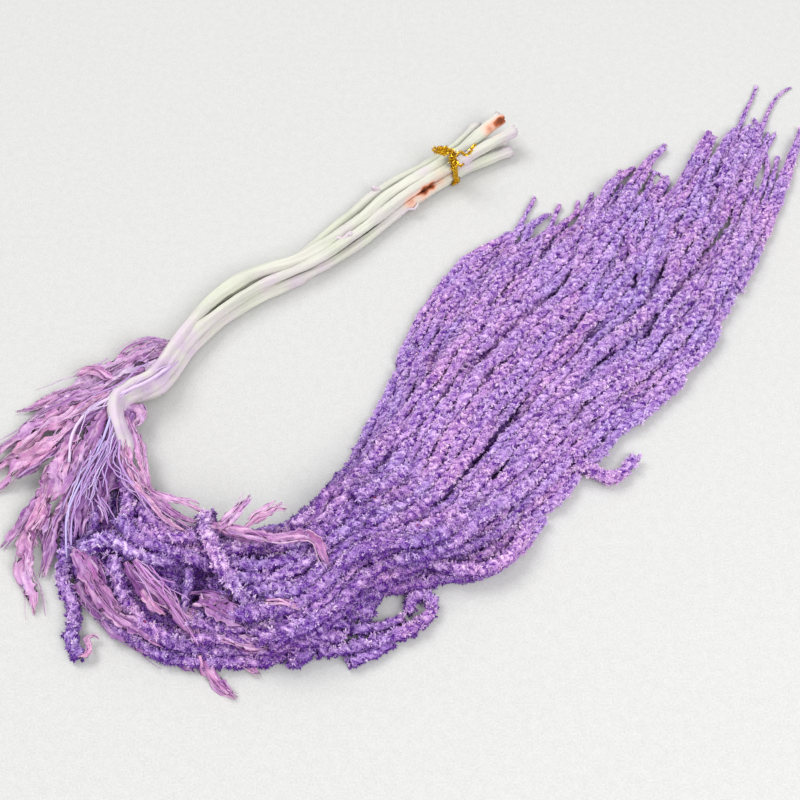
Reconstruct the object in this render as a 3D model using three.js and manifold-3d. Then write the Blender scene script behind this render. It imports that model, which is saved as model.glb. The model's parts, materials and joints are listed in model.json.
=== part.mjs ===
// Dried hanging amaranth: one tied bunch of dyed flower heads, lying flat and bent round into a fan.
// Millimetres, +Z up. The stems run from their cut ends through a twist tie to a bend, where leaves,
// pale stalks and the flower tassels start. The tassels sweep round the bend and spread into a fan.
// The finished group is moved so that the origin is under the middle of the bunch, at floor level.
import * as THREE from 'three';
import { mergeVertices } from 'three/addons/utils/BufferGeometryUtils.js';
import Module from 'manifold-3d';

const wasm = await Module();
wasm.setup();

// Driving dimensions
const CLEARANCE = 0.3;
const STEM_RADIUS = 3.2;
const STEM_STEPS = 26;
const TIE_WIDTH = 4;
const TIE_THICKNESS = 0.7;
const TIE_CLEARANCE = 0.6;
const WIRE_RADIUS = 0.7;
const WIRE_STEPS = 6;
const LEAF_THICKNESS = 1.2;
const LEAF_STEPS = 9;
const STALK_RADIUS = 0.9;
const STALK_STEPS = 10;

// The mass of tassels is measured in stations, from the bend (0) to the tips (32)
const STATIONS = 32;
const FAN_START = 15;
const COLLAR_THICKNESS = { lower: 9.5, middle: 7.5, upper: 9 };
const TIP_THICKNESS = { lower: 5, middle: 4.5, upper: 4 };

// How far the line between two neighbours wanders, as a share of a tassel's width, and how often
const WANDER = 0.1;
const WANDER_WAVES = 1.4;
const WANDER_PHASE = 2.1;

// A tassel's end as a share of its full section, and how many stations the narrowing takes
const ROOT_SCALE = 0.7;
const ROOT_STATIONS = 1.5;
const BLUNT_TIP = 0.7;
const FINE_TIP = 0.22;
const TIP_STATIONS = 3.5;

// The two edges of the mass of tassels on the floor, in matching pairs from the bend to the tips
const INNER_EDGE = [
  [-124, -37], [-118, -60], [-105, -69], [-86, -74], [-63, -75], [-45, -69], [-35, -54],
  [-24, -32], [-8, 9], [10, 46], [30, 76], [52, 99], [75, 125], [96, 150],
];
const OUTER_EDGE = [
  [-159, -39], [-157, -83], [-139, -117], [-110, -134], [-75, -143], [-43, -138], [-8, -112],
  [28, -98], [67, -71], [113, -25], [157, 29], [193, 95], [220, 152], [240, 206],
];

// Middle line of the bundle of stems, from the cut ends to inside the mass of tassels
const STEM_ROUTE = [
  [62, 178], [29, 151], [0, 129], [-27, 104], [-50, 83], [-77, 65], [-95, 49],
  [-109, 29], [-121, 6], [-131, -12], [-138, -34], [-136, -72], [-112, -99],
];
const TIE_STATION = 1;

// Each stem's sideways place and height at every point of the route, and where its cut end is
const STEMS = [
  {
    name: 'stem_1',
    start: 0.22,
    side: [11.4, 6.9, 7.2, 8.6, 7.4, 7.6, 8.2, 8, 9.4, 11.6, 12.6, 11.4, 11],
    height: [4.5, 4.5, 4, 3.4, 3.3, 3.3, 3.3, 3.6, 5.4, 9.6, 12.5, 12, 11.5],
  },
  {
    name: 'stem_2',
    start: 0,
    side: [7, 3.5, 3.4, 2.6, 3.4, 6, 7.4, 4.4, 0.9, 0.2, 1, 0, 0],
    height: [12, 10.5, 10, 9.6, 9.6, 9.9, 9.9, 10.8, 12.4, 13.6, 12.5, 12, 11.5],
  },
  {
    name: 'stem_3',
    start: 0.05,
    side: [-11.5, -6.9, -6.9, -6.9, -6.9, -7.6, -8.4, -8, -8.2, -10.4, -10.8, -11.4, -11],
    height: [4.5, 4.5, 4, 3.4, 3.3, 3.3, 3.3, 3.6, 5.4, 9.6, 12.5, 12, 11.5],
  },
  {
    name: 'stem_4',
    start: 0.1,
    side: [-1.5, 0, 0, 0.2, 0, -0.4, 0, 0, 1.8, 5.4, 6.8, 5.7, 5.5],
    height: [4.5, 4.5, 4, 3.4, 3.3, 3.3, 3.3, 3.6, 5.1, 9.2, 12.5, 12, 11.5],
  },
  {
    name: 'stem_5',
    start: 0,
    side: [-4.5, -3.5, -3.6, -4.4, -3.6, -6, -7.4, -5, -6.2, -5.9, -5, -5.7, -5.5],
    height: [11, 10.5, 10, 9.6, 9.6, 9.9, 9.9, 10.8, 12.4, 14.4, 12.5, 12, 11.5],
  },
];

// Runs of tassels side by side; odd ones in a run stop `stagger` stations later than even ones
const TASSEL_RUNS = [
  { name: 'tassel_collar_lower', level: 'lower', cells: 3, first: 1, last: 8, stagger: 0, tip: BLUNT_TIP },
  { name: 'tassel_bend_lower', level: 'lower', cells: 3, first: 8, last: 15, stagger: 0, tip: BLUNT_TIP },
  { name: 'tassel_bend_middle', level: 'middle', cells: 3, first: 8, last: 15, stagger: 0, tip: BLUNT_TIP },
  { name: 'tassel_collar_upper', level: 'upper', cells: 3, first: 3, last: 9, stagger: 0, tip: BLUNT_TIP },
  { name: 'tassel_bend_upper', level: 'upper', cells: 3, first: 9, last: 16, stagger: 0, tip: BLUNT_TIP },
  { name: 'tassel_fan_lower', level: 'lower', cells: 6, first: 15, last: 31, stagger: 1, tip: FINE_TIP },
  { name: 'tassel_fan_middle', level: 'middle', cells: 5, first: 15, last: 30, stagger: 1, tip: FINE_TIP },
  { name: 'tassel_fan_upper', level: 'upper', cells: 5, first: 16, last: 28, stagger: 2, tip: FINE_TIP },
];

// Loose strands that leave the mass and lie on the floor around it
const LOOSE_STRANDS = [
  {
    name: 'loose_strand_hook',
    steps: 14,
    radius: [3.6, 2.4],
    points: [[-36, -137.1, 3.6], [-18, -133, 3.5], [-2, -129, 3.4], [10, -122.5, 3.3], [18, -113, 3],
      [13, -108, 2.7], [4, -111.5, 2.5]],
  },
  {
    name: 'loose_strand_short',
    steps: 6,
    radius: [3.2, 2.4],
    points: [[-19, -121.6, 3.2], [-8, -119.6, 3], [0, -118.8, 2.6]],
  },
  {
    name: 'loose_strand_hanging',
    steps: 8,
    radius: [3.6, 2.4],
    points: [[-158.4, -92, 3.6], [-155, -108, 3.5], [-150, -124, 3.2], [-143, -137, 2.6]],
  },
  {
    name: 'loose_strand_stub',
    steps: 6,
    radius: [3.2, 2.2],
    points: [[88, -56, 3.2], [98, -51.5, 3.1], [106, -48, 3], [116, -37, 2.4]],
  },
  {
    name: 'loose_strand_tip',
    steps: 8,
    radius: [2.8, 1.4],
    points: [[197.4, 175, 2.8], [205, 191, 2.4], [213, 207, 2], [228, 218, 1.4]],
  },
];

// Leaves: width, turn about their own length from base to tip in radians, and their middle line
const LEAVES = [
  {
    name: 'leaf_outer_1', width: 10, turn: [0, 0.3],
    points: [[-118, 31, 9], [-135, 25, 10], [-149, 12, 9], [-169, 1, 5], [-186, -7, 2.2]],
  },
  {
    name: 'leaf_outer_2', width: 10, turn: [0, 0.3],
    points: [[-134, 10, 12], [-144, 0, 12], [-162, -11, 9], [-178, -21, 5], [-195, -39, 2.2]],
  },
  {
    name: 'leaf_outer_3', width: 9, turn: [0, -0.3],
    points: [[-144.8, -6, 14], [-156, -17, 12], [-170, -31, 9], [-183, -42, 5], [-196, -54, 2.2]],
  },
  {
    name: 'leaf_outer_4', width: 8, turn: [0, 0.3],
    points: [[-146, -20, 16.4], [-157, -23, 16], [-173, -23, 12], [-188, -30, 7], [-203, -33, 2.2]],
  },
  {
    name: 'leaf_outer_5', width: 10, turn: [0, 0.4],
    points: [[-151, -32, 17.6], [-162, -44, 15], [-171, -58, 10], [-177, -76, 6], [-176, -95, 3],
      [-168, -114, 2.2]],
  },
  {
    name: 'leaf_outer_6', width: 8, turn: [0, -0.3],
    points: [[-154.8, -30, 13], [-168, -44, 9], [-177, -58, 6], [-184, -74, 2.4]],
  },
  {
    name: 'leaf_outer_7', width: 8, turn: [0, 0.3],
    points: [[-163, -56, 11], [-166, -70, 8], [-168, -82, 5], [-168, -95, 2.2]],
  },
  {
    name: 'leaf_inner_1', width: 8, turn: [1.45, 1.45],
    points: [[-115.6, -12, 8], [-118.8, -26, 10.5], [-121, -38, 13], [-117, -54, 14.4]],
  },
  {
    name: 'leaf_top_1', width: 8, turn: [0, 0.2],
    points: [[-106, -82, 27.6], [-92, -85, 27.8], [-80, -88, 28], [-73, -83, 31], [-70, -76, 35]],
  },
  {
    name: 'leaf_top_2', width: 8, turn: [0, 0],
    points: [[-74, -93.5, 27.7], [-63, -97, 27.7], [-46, -96, 27.7], [-35, -98, 27.7], [-33, -106, 27.7]],
  },
  {
    name: 'leaf_top_3', width: 8, turn: [0, 0],
    points: [[-114, -99, 27.7], [-106, -110, 27.7], [-98, -118, 27.7], [-91, -128, 27.7]],
  },
  {
    name: 'leaf_top_4', width: 9, turn: [0, 0],
    points: [[-86, -110, 27.7], [-76, -116, 27.7], [-62, -121, 27.7], [-44, -120, 27.7]],
  },
  {
    name: 'leaf_edge_1', width: 8, turn: [0, 0],
    points: [[-152, -84, 10.8], [-146, -98, 10.5], [-136, -113, 10.5], [-122, -123, 10.5],
      [-108, -129, 10.5]],
  },
  {
    name: 'leaf_edge_2', width: 7, turn: [0, 0.2],
    points: [[-88, -141.6, 2.4], [-83, -149, 2], [-77, -157, 2]],
  },
];

// Pale leaf stalks, thin and curved, down the outside of the bend
const STALKS = [
  {
    name: 'stalk_1',
    points: [[-128, -3, 17.6], [-146, -10, 18.6], [-160, -27, 19], [-161, -50, 18.5], [-160, -72, 16.8]],
  },
  {
    name: 'stalk_2',
    points: [[-133, -10, 17.2], [-147, -22, 18.8], [-151, -40, 19.8], [-150, -58, 18.6]],
  },
];

const MATERIALS = {
  lilac: new THREE.MeshStandardMaterial({ color: 0xb48cda, roughness: 0.95, metalness: 0 }),
  lavender: new THREE.MeshStandardMaterial({ color: 0x9f8ad6, roughness: 0.95, metalness: 0 }),
  leaf: new THREE.MeshStandardMaterial({ color: 0xd58ccb, roughness: 0.8, metalness: 0 }),
  stem: new THREE.MeshStandardMaterial({ color: 0xebe7db, roughness: 0.7, metalness: 0 }),
  gold: new THREE.MeshStandardMaterial({ color: 0xc9930f, roughness: 0.3, metalness: 1 }),
};

const bunch = new THREE.Group();

function add(name, geometry, material) {
  const mesh = new THREE.Mesh(geometry, material);
  mesh.name = name;
  bunch.add(mesh);
}

// A smooth line through points, read at a station: 0 is the first point, 1 the second, and so on
function line(points) {
  const curve = new THREE.CatmullRomCurve3(points.map(([x, y, z = 0]) => new THREE.Vector3(x, y, z)));
  const last = points.length - 1;
  return {
    last,
    at: (station) => curve.getPoint(THREE.MathUtils.clamp(station / last, 0, 1)),
    heading: (station) => curve.getTangent(THREE.MathUtils.clamp(station / last, 0, 1)),
  };
}

function fade(station, from, to, before, after) {
  return THREE.MathUtils.lerp(before, after, THREE.MathUtils.smoothstep(station, from, to));
}

function levelLeft(heading) {
  return new THREE.Vector3(-heading.y, heading.x, 0).normalize();
}

function outline(points) {
  return new THREE.Shape(points.map(([x, y]) => new THREE.Vector2(x, y)));
}

// A regular polygon round a circle of radius 1, with a flat side at the bottom
function regularOutline(sides) {
  const turn = (2 * Math.PI) / sides;
  const reach = 1 / Math.cos(turn / 2);
  const corners = Array.from({ length: sides }, (_, i) => (i + 0.5) * turn);
  return outline(corners.map((angle) => [Math.sin(angle) * reach, -Math.cos(angle) * reach]));
}

const TASSEL_OUTLINE = outline([
  [1, -0.5], [1, 0.5], [0.5, 1], [-0.5, 1], [-1, 0.5], [-1, -0.5], [-0.5, -1], [0.5, -1],
]);
const LEAF_OUTLINE = outline([[1, 0], [0.5, 0.5], [-0.5, 0.5], [-1, 0], [-0.5, -0.5], [0.5, -0.5]]);
const STEM_OUTLINE = regularOutline(10);
const STRAND_OUTLINE = regularOutline(8);
const WIRE_OUTLINE = regularOutline(6);

// Extrudes an outline in even steps, then moves each of its points (x, y, along) to its own place
function sweep(shape, steps, place) {
  const solid = new THREE.ExtrudeGeometry(shape, { depth: 1, steps, bevelEnabled: false });
  const spots = solid.getAttribute('position');
  for (let i = 0; i < spots.count; i += 1) {
    const spot = place(spots.getX(i), spots.getY(i), spots.getZ(i));
    spots.setXYZ(i, spot.x, spot.y, spot.z);
  }
  solid.computeVertexNormals();
  return solid;
}

// A strip that follows points in space; half its width and height, and its turn, may change along it
function strip(shape, points, steps, halfWidth, halfHeight, turn = () => 0) {
  const route = line(points);
  return sweep(shape, steps, (x, y, along) => {
    const station = along * route.last;
    const heading = route.heading(station);
    const left = levelLeft(heading).applyAxisAngle(heading, turn(along));
    const up = new THREE.Vector3().crossVectors(heading, left);
    const spot = route.at(station).addScaledVector(left, -x * halfWidth(along));
    return spot.addScaledVector(up, -y * halfHeight(along));
  });
}

function tube(shape, points, steps, radius) {
  return strip(shape, points, steps, radius, radius);
}

// Tassels: three levels, each shared out across the width with a small gap between neighbours
const inner = line(INNER_EDGE);
const outer = line(OUTER_EDGE);

function across(station, share) {
  const edgeStation = (station / STATIONS) * inner.last;
  return inner.at(edgeStation).lerp(outer.at(edgeStation), share);
}

function thickness(level, station) {
  return fade(station, FAN_START, STATIONS, COLLAR_THICKNESS[level], TIP_THICKNESS[level]);
}

const UNDERSIDE = {
  lower: () => 0,
  middle: (station) => thickness('lower', station) + CLEARANCE,
  upper: (station) => UNDERSIDE.middle(station) + thickness('middle', station) + CLEARANCE,
};

// Share of the width where each level starts and ends; the upper level drifts outwards as it goes
const SPAN = {
  lower: () => [0, 1],
  middle: () => [0.05, 0.96],
  upper: (station) => [fade(station, 2, STATIONS, 0.1, 0.16), fade(station, 2, STATIONS, 0.84, 0.93)],
};

function cellEdge(level, cells, index, station) {
  const [from, to] = SPAN[level](station);
  const isInside = index > 0 && index < cells;
  const wave = Math.sin((WANDER_WAVES * station * Math.PI) / FAN_START + index * WANDER_PHASE);
  const shift = isInside ? (WANDER * wave) / cells : 0;
  return from + (to - from) * (index / cells + shift);
}

function endScale(along, steps, tip) {
  const root = ROOT_SCALE + ((1 - ROOT_SCALE) * along * steps) / ROOT_STATIONS;
  const end = tip + ((1 - tip) * (1 - along) * steps) / TIP_STATIONS;
  return Math.min(1, root, end);
}

function tassel(run, index) {
  const steps = run.last + (index % 2) * run.stagger - run.first;
  return sweep(TASSEL_OUTLINE, steps, (x, y, along) => {
    const station = run.first + along * steps + (along === 0 ? CLEARANCE / 20 : 0);
    const inset = CLEARANCE / 2 / across(station, 0).distanceTo(across(station, 1));
    const from = cellEdge(run.level, run.cells, index, station) + inset;
    const to = cellEdge(run.level, run.cells, index + 1, station) - inset;
    const scale = endScale(along, steps, run.tip);
    const share = (from + to) / 2 - ((to - from) / 2) * x * scale;
    const rise = thickness(run.level, station) * scale * (0.5 + y / 2);
    return across(station, share).setZ(UNDERSIDE[run.level](station) + rise);
  });
}

for (const run of TASSEL_RUNS) {
  for (let index = 0; index < run.cells; index += 1) {
    add(`${run.name}_${index + 1}`, tassel(run, index), index % 2 ? MATERIALS.lavender : MATERIALS.lilac);
  }
}

for (const strand of LOOSE_STRANDS) {
  const radius = (along) => THREE.MathUtils.lerp(strand.radius[0], strand.radius[1], along);
  add(strand.name, tube(STRAND_OUTLINE, strand.points, strand.steps, radius), MATERIALS.lavender);
}

// Stems: full size to the bend, then thinner as they go in among the tassels
const stemRoute = line(STEM_ROUTE);

function stemPoint(stem, station) {
  const { x: side, y: height } = line(stem.side.map((value, i) => [value, stem.height[i]])).at(station);
  return stemRoute.at(station).addScaledVector(levelLeft(stemRoute.heading(station)), -side).setZ(height);
}

function stemRadius(station) {
  return fade(station, 7.5, 10, STEM_RADIUS, 2.6) * fade(station, 10, stemRoute.last, 1, 0.6);
}

for (const stem of STEMS) {
  const length = stemRoute.last - stem.start;
  const points = Array.from({ length: STEM_STEPS + 1 }, (_, i) => {
    return stemPoint(stem, stem.start + (length * i) / STEM_STEPS).toArray();
  });
  const radius = (along) => stemRadius(stem.start + length * along);
  add(stem.name, tube(STEM_OUTLINE, points, STEM_STEPS, radius), MATERIALS.stem);
}

// Leaves: thin crumpled strips, widest past the middle
for (const { name, width, turn, points } of LEAVES) {
  const halfWidth = (along) => (width / 2) * (0.25 + 0.75 * Math.sin(Math.PI * (0.12 + 0.78 * along)));
  const turnAt = (along) => THREE.MathUtils.lerp(turn[0], turn[1], along);
  const solid = strip(LEAF_OUTLINE, points, LEAF_STEPS, halfWidth, () => LEAF_THICKNESS, turnAt);
  add(name, solid, MATERIALS.leaf);
}

for (const stalk of STALKS) {
  add(stalk.name, tube(WIRE_OUTLINE, stalk.points, STALK_STEPS, () => STALK_RADIUS), MATERIALS.stem);
}

// Twist tie: a band round the stems, drawn as the hull of their circles, and its twisted wire ends.
// Its own frame stands at the tie: x across the stems, y up, z towards the cut ends.
const tieHeading = stemRoute.heading(TIE_STATION);
const tieFrame = new THREE.Matrix4()
  .makeBasis(levelLeft(tieHeading).negate(), new THREE.Vector3(0, 0, 1), tieHeading.clone().negate())
  .setPosition(stemRoute.at(TIE_STATION));
const tiedStems = STEMS.map((stem) => new THREE.Vector2(stem.side[TIE_STATION], stem.height[TIE_STATION]));
const stemsTop = Math.max(...tiedStems.map((spot) => spot.y)) + STEM_RADIUS;
const bandTop = stemsTop + TIE_CLEARANCE + TIE_THICKNESS / 2;
const TIE_ENDS = [
  [[2, bandTop, -1], [1.5, bandTop + 2.4, 2], [-1, bandTop + 2.2, 7], [0, bandTop + 2.6, 13]],
  [[2, bandTop, 1], [4, bandTop + 2.2, -1], [7, bandTop + 1.6, -4], [8.5, bandTop + 0.4, -7]],
  [[-3, bandTop, 0], [-5, bandTop + 1.4, 2.5], [-6.2, bandTop + 0.6, 5]],
];

function hullOfStems(margin, corners = 32) {
  return Array.from({ length: corners }, (_, i) => {
    const angle = (2 * Math.PI * i) / corners;
    const towards = new THREE.Vector2(Math.cos(angle), Math.sin(angle));
    const furthest = tiedStems.reduce((best, spot) => (spot.dot(towards) > best.dot(towards) ? spot : best));
    return furthest.clone().addScaledVector(towards, STEM_RADIUS + margin);
  });
}

function toSolid(geometry) {
  const plain = geometry.clone();
  plain.deleteAttribute('normal');
  plain.deleteAttribute('uv');
  const merged = mergeVertices(plain, 1e-4);
  const vertProperties = new Float32Array(merged.getAttribute('position').array);
  const triVerts = new Uint32Array(merged.getIndex().array);
  return new wasm.Manifold(new wasm.Mesh({ numProp: 3, vertProperties, triVerts }));
}

function toGeometry(solid) {
  const mesh = solid.getMesh();
  const geometry = new THREE.BufferGeometry();
  geometry.setAttribute('position', new THREE.BufferAttribute(mesh.vertProperties, 3));
  geometry.setIndex(new THREE.BufferAttribute(mesh.triVerts, 1));
  geometry.computeVertexNormals();
  return geometry;
}

const bandShape = new THREE.Shape(hullOfStems(TIE_CLEARANCE + TIE_THICKNESS));
bandShape.holes.push(new THREE.Path(hullOfStems(TIE_CLEARANCE)));
const band = new THREE.ExtrudeGeometry(bandShape, { depth: TIE_WIDTH, bevelEnabled: false });
band.translate(0, 0, -TIE_WIDTH / 2);
band.applyMatrix4(tieFrame);

const wires = TIE_ENDS.map((points) => {
  const placed = points.map((spot) => new THREE.Vector3(...spot).applyMatrix4(tieFrame).toArray());
  return toSolid(tube(WIRE_OUTLINE, placed, WIRE_STEPS, () => WIRE_RADIUS));
});
const tie = wires.reduce((solid, wire) => solid.add(wire), toSolid(band));
add('twist_tie', toGeometry(tie), MATERIALS.gold);

// The origin goes under the middle of the bunch, level with its lowest face
bunch.updateMatrixWorld(true);
const box = new THREE.Box3().setFromObject(bunch, true);
const middle = box.getCenter(new THREE.Vector3());
bunch.position.set(-middle.x, -middle.y, -box.min.z);

export default bunch;
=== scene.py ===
"""Dried hanging amaranth: a tied bunch of pale stems that bends over into granular lilac flower tassels."""

import json
import logging
import math
from dataclasses import dataclass, field
from enum import Enum

import bpy
import numpy as np
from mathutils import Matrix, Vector
from mathutils.bvhtree import BVHTree
from mathutils.kdtree import KDTree

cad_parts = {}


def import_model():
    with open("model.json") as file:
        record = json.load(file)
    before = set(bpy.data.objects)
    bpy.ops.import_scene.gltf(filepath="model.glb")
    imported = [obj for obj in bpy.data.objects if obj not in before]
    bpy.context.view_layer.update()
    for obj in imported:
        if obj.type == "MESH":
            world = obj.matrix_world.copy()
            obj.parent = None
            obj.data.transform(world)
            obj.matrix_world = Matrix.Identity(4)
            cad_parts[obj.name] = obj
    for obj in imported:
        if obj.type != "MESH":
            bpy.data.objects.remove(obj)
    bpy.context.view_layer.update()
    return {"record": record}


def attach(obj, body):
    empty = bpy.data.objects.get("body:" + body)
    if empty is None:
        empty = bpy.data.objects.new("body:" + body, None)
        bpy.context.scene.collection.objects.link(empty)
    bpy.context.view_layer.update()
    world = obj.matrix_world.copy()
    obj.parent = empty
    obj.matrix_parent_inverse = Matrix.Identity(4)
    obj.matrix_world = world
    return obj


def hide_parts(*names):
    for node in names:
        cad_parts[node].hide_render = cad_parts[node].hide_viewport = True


logging.basicConfig(level=logging.INFO, format="%(message)s")
LOG = logging.getLogger("amaranth")

Array = np.ndarray
Chance = np.random.Generator
Material = bpy.types.Material
Socket = bpy.types.NodeSocket

MM = 0.001
FRAME_SHIFT = np.array([-14.06, -30.57, 0.0])  # from the tables' origin to the frame's, in mm
BODY = "root"
UP = np.array([0.0, 0.0, 1.0])
TURN = 2 * math.pi
FLOOR_GAP = 0.03

# Edges of the mass of tassels on the floor, in mm, in matching pairs from the bend to the tips
INNER_EDGE = (
    (-124, -37), (-118, -60), (-105, -69), (-86, -75), (-63, -76.5), (-44, -71.5), (-32.5, -56),
    (-20.5, -34), (-5, 7.5), (10, 47), (28.5, 78), (50, 102), (74, 126), (96, 150),
)
OUTER_EDGE = (
    (-159, -39), (-157, -83), (-139, -116), (-110, -133), (-75, -141), (-43, -134.5), (-10, -104.5),
    (27, -96), (62.5, -71), (109, -21.5), (156.5, 28.5), (194, 94), (220, 152), (240, 206),
)
STATIONS = 32
FAN_START = 15

# Middle line of the bundle of stems, from the cut ends to inside the mass of tassels
STEM_ROUTE = (
    (62, 178), (29, 151), (0, 129), (-27, 104), (-50, 83), (-77, 65), (-95, 49),
    (-109, 29), (-121, 6), (-131, -12), (-138, -34), (-136, -72), (-112, -99),
)
TIE_STATION = 1.0


# Lines and places


def smoothstep(low: float, high: float, value: Array) -> Array:
    """Eases from 0 at low to 1 at high.

    Args:
        low: where the rise starts.
        high: where it ends.
        value: the numbers to ease.

    Returns:
        A share from 0 to 1 for each value.
    """
    share = np.clip((np.asarray(value, float) - low) / (high - low), 0.0, 1.0)
    return share * share * (3.0 - 2.0 * share)


def unit(vectors: Array) -> Array:
    """Returns the vectors at length 1."""
    return vectors / np.maximum(np.linalg.norm(vectors, axis=-1, keepdims=True), 1e-9)


def to_frame(points: Array) -> Array:
    """Returns points of the tables, in mm, as points of the frame, in metres."""
    return (np.asarray(points, float) + FRAME_SHIFT) * MM


class Route:
    """A smooth line through points: station 0 is the first of them, 1 the second, and so on."""

    def __init__(self, points: object) -> None:
        """Takes the points, and adds one past either end."""
        spots = np.array(points, float)
        self.last = len(spots) - 1
        self.spots = np.vstack([2 * spots[0] - spots[1], spots, 2 * spots[-1] - spots[-2]])

    def at(self, station: Array) -> Array:
        """Reads the line.

        Args:
            station: where, as one number or several.

        Returns:
            One point for each station.
        """
        station = np.clip(np.atleast_1d(np.asarray(station, float)), 0.0, self.last)
        first = np.minimum(station.astype(int), self.last - 1)
        along = (station - first)[:, None]
        a, b, c, d = (self.spots[first + i] for i in range(4))
        gap = [np.linalg.norm(q - p, axis=1, keepdims=True) ** 0.5 + 1e-9
               for p, q in ((a, b), (b, c), (c, d))]
        start = ((b - a) / gap[0] - (c - a) / (gap[0] + gap[1]) + (c - b) / gap[1]) * gap[1]
        end = ((c - b) / gap[1] - (d - b) / (gap[1] + gap[2]) + (d - c) / gap[2]) * gap[1]
        bend = -3 * b + 3 * c - 2 * start - end
        twist = 2 * b - 2 * c + start + end
        return b + along * (start + along * (bend + along * twist))

    def even(self, step: float) -> Array:
        """Returns points in even steps along the whole line, with both its ends."""
        return resample(self.at(np.linspace(0.0, self.last, 40 * self.last + 1)), step)


def resample(points: Array, step: float) -> Array:
    """Places points at even distances along a line of points.

    Args:
        points: the line, one row a point; columns past the third are carried along.
        step: the distance wanted.

    Returns:
        The new points, with the first and the last of the old ones.
    """
    run = run_length(points)
    where = np.linspace(0.0, run[-1], max(2, int(round(run[-1] / step)) + 1))
    return np.stack([np.interp(where, run, points[:, i]) for i in range(points.shape[1])], axis=1)


def run_length(points: Array) -> Array:
    """Returns the distance along a line of points at each of them."""
    return np.concatenate([[0.0], np.cumsum(np.linalg.norm(np.diff(points[:, :3], axis=0), axis=1))])


def headings(points: Array) -> Array:
    """Returns the direction of a line of points at each of them."""
    return unit(np.gradient(points, axis=0))


def carried_frame(points: Array) -> tuple[Array, Array]:
    """Carries a level sideways direction along a line without twisting it.

    Args:
        points: the line.

    Returns:
        The side and the upward direction at each point.
    """
    ahead = headings(points)
    side = np.cross(ahead[0], UP)
    sides = np.empty_like(ahead)
    for i, direction in enumerate(ahead):
        side = side - direction * np.dot(side, direction)
        side = side / max(np.linalg.norm(side), 1e-9)
        sides[i] = side
    return sides, np.cross(sides, ahead)


class Wave:
    """A gentle wander along a line, made of three sines with seeded phases."""

    sizes = np.array([0.6, 0.3, 0.15])

    def __init__(self, rng: Chance, length: float) -> None:
        """Draws the phases.

        Args:
            rng: the source of chance.
            length: the longest of the three wavelengths.
        """
        self.phases = rng.uniform(0, TURN, 3)
        self.lengths = length * np.array([1.0, 0.53, 0.29])

    def at(self, run: Array) -> Array:
        """Returns the wander at distances along the line, between -1 and 1."""
        turns = TURN * np.asarray(run, float)[:, None] / self.lengths + self.phases
        return (np.sin(turns) * self.sizes).sum(axis=1)


def wander(rng: Chance, run: Array, size: float, length: float) -> Array:
    """Returns a new wander of a size and a longest wavelength, at distances along a line."""
    return size * Wave(rng, length).at(run)


def sway(rng: Chance, run: Array, sizes: tuple, lengths: tuple) -> Array:
    """Returns a new wander along x, y and z, each with a size and a longest wavelength of its own."""
    return np.column_stack([wander(rng, run, *pair) for pair in zip(sizes, lengths)])


def tapered_tube(line: Array, start: float, end: float, sides: int, unevenness: float,
                 rng: Chance) -> tuple[Array, Array]:
    """Makes an uneven tube along a line.

    Args:
        line: its middle line.
        start: its radius at the start.
        end: its radius at the end.
        sides: how many points go round it.
        unevenness: how far the radius strays at each point, as a share of it.
        rng: the source of chance.

    Returns:
        Its points and its faces.
    """
    uneven = rng.uniform(1 - unevenness, 1 + unevenness, (len(line), sides))
    radius = np.linspace(start, end, len(line))[:, None] * uneven
    return close_tube(rings_round(line, radius), line[0], line[-1])


@dataclass(frozen=True)
class Photograph:
    """The photograph's camera, which also places what is traced on it by pixel and height."""

    pixels: float = 800.0
    rise: float = 57.0
    view: float = 34.0
    distance: float = 654.17

    def eye(self) -> Array:
        """Returns the camera's place, in mm."""
        angle = math.radians(self.rise)
        return np.array([0.0, -math.cos(angle), math.sin(angle)]) * self.distance

    def spot(self, x: float, y: float, height: float) -> Array:
        """Finds the point seen at a pixel.

        Args:
            x: pixels from the left.
            y: pixels from the top.
            height: the point's height above the floor, in mm.

        Returns:
            The point, in mm.
        """
        eye = self.eye()
        ahead = unit(-eye)
        right = np.array([1.0, 0.0, 0.0])
        up = np.cross(right, ahead)
        half = self.pixels / 2
        ray = ahead * half / math.tan(math.radians(self.view / 2)) + right * (x - half) - up * (y - half)
        return eye + ray * (height - eye[2]) / ray[2]

    def route(self, traced: tuple) -> Route:
        """Returns the smooth line through traced points, each a pixel's x and y and a height in mm."""
        return Route([self.spot(*point) for point in traced])


PHOTOGRAPH = Photograph()


# Meshes


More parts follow.
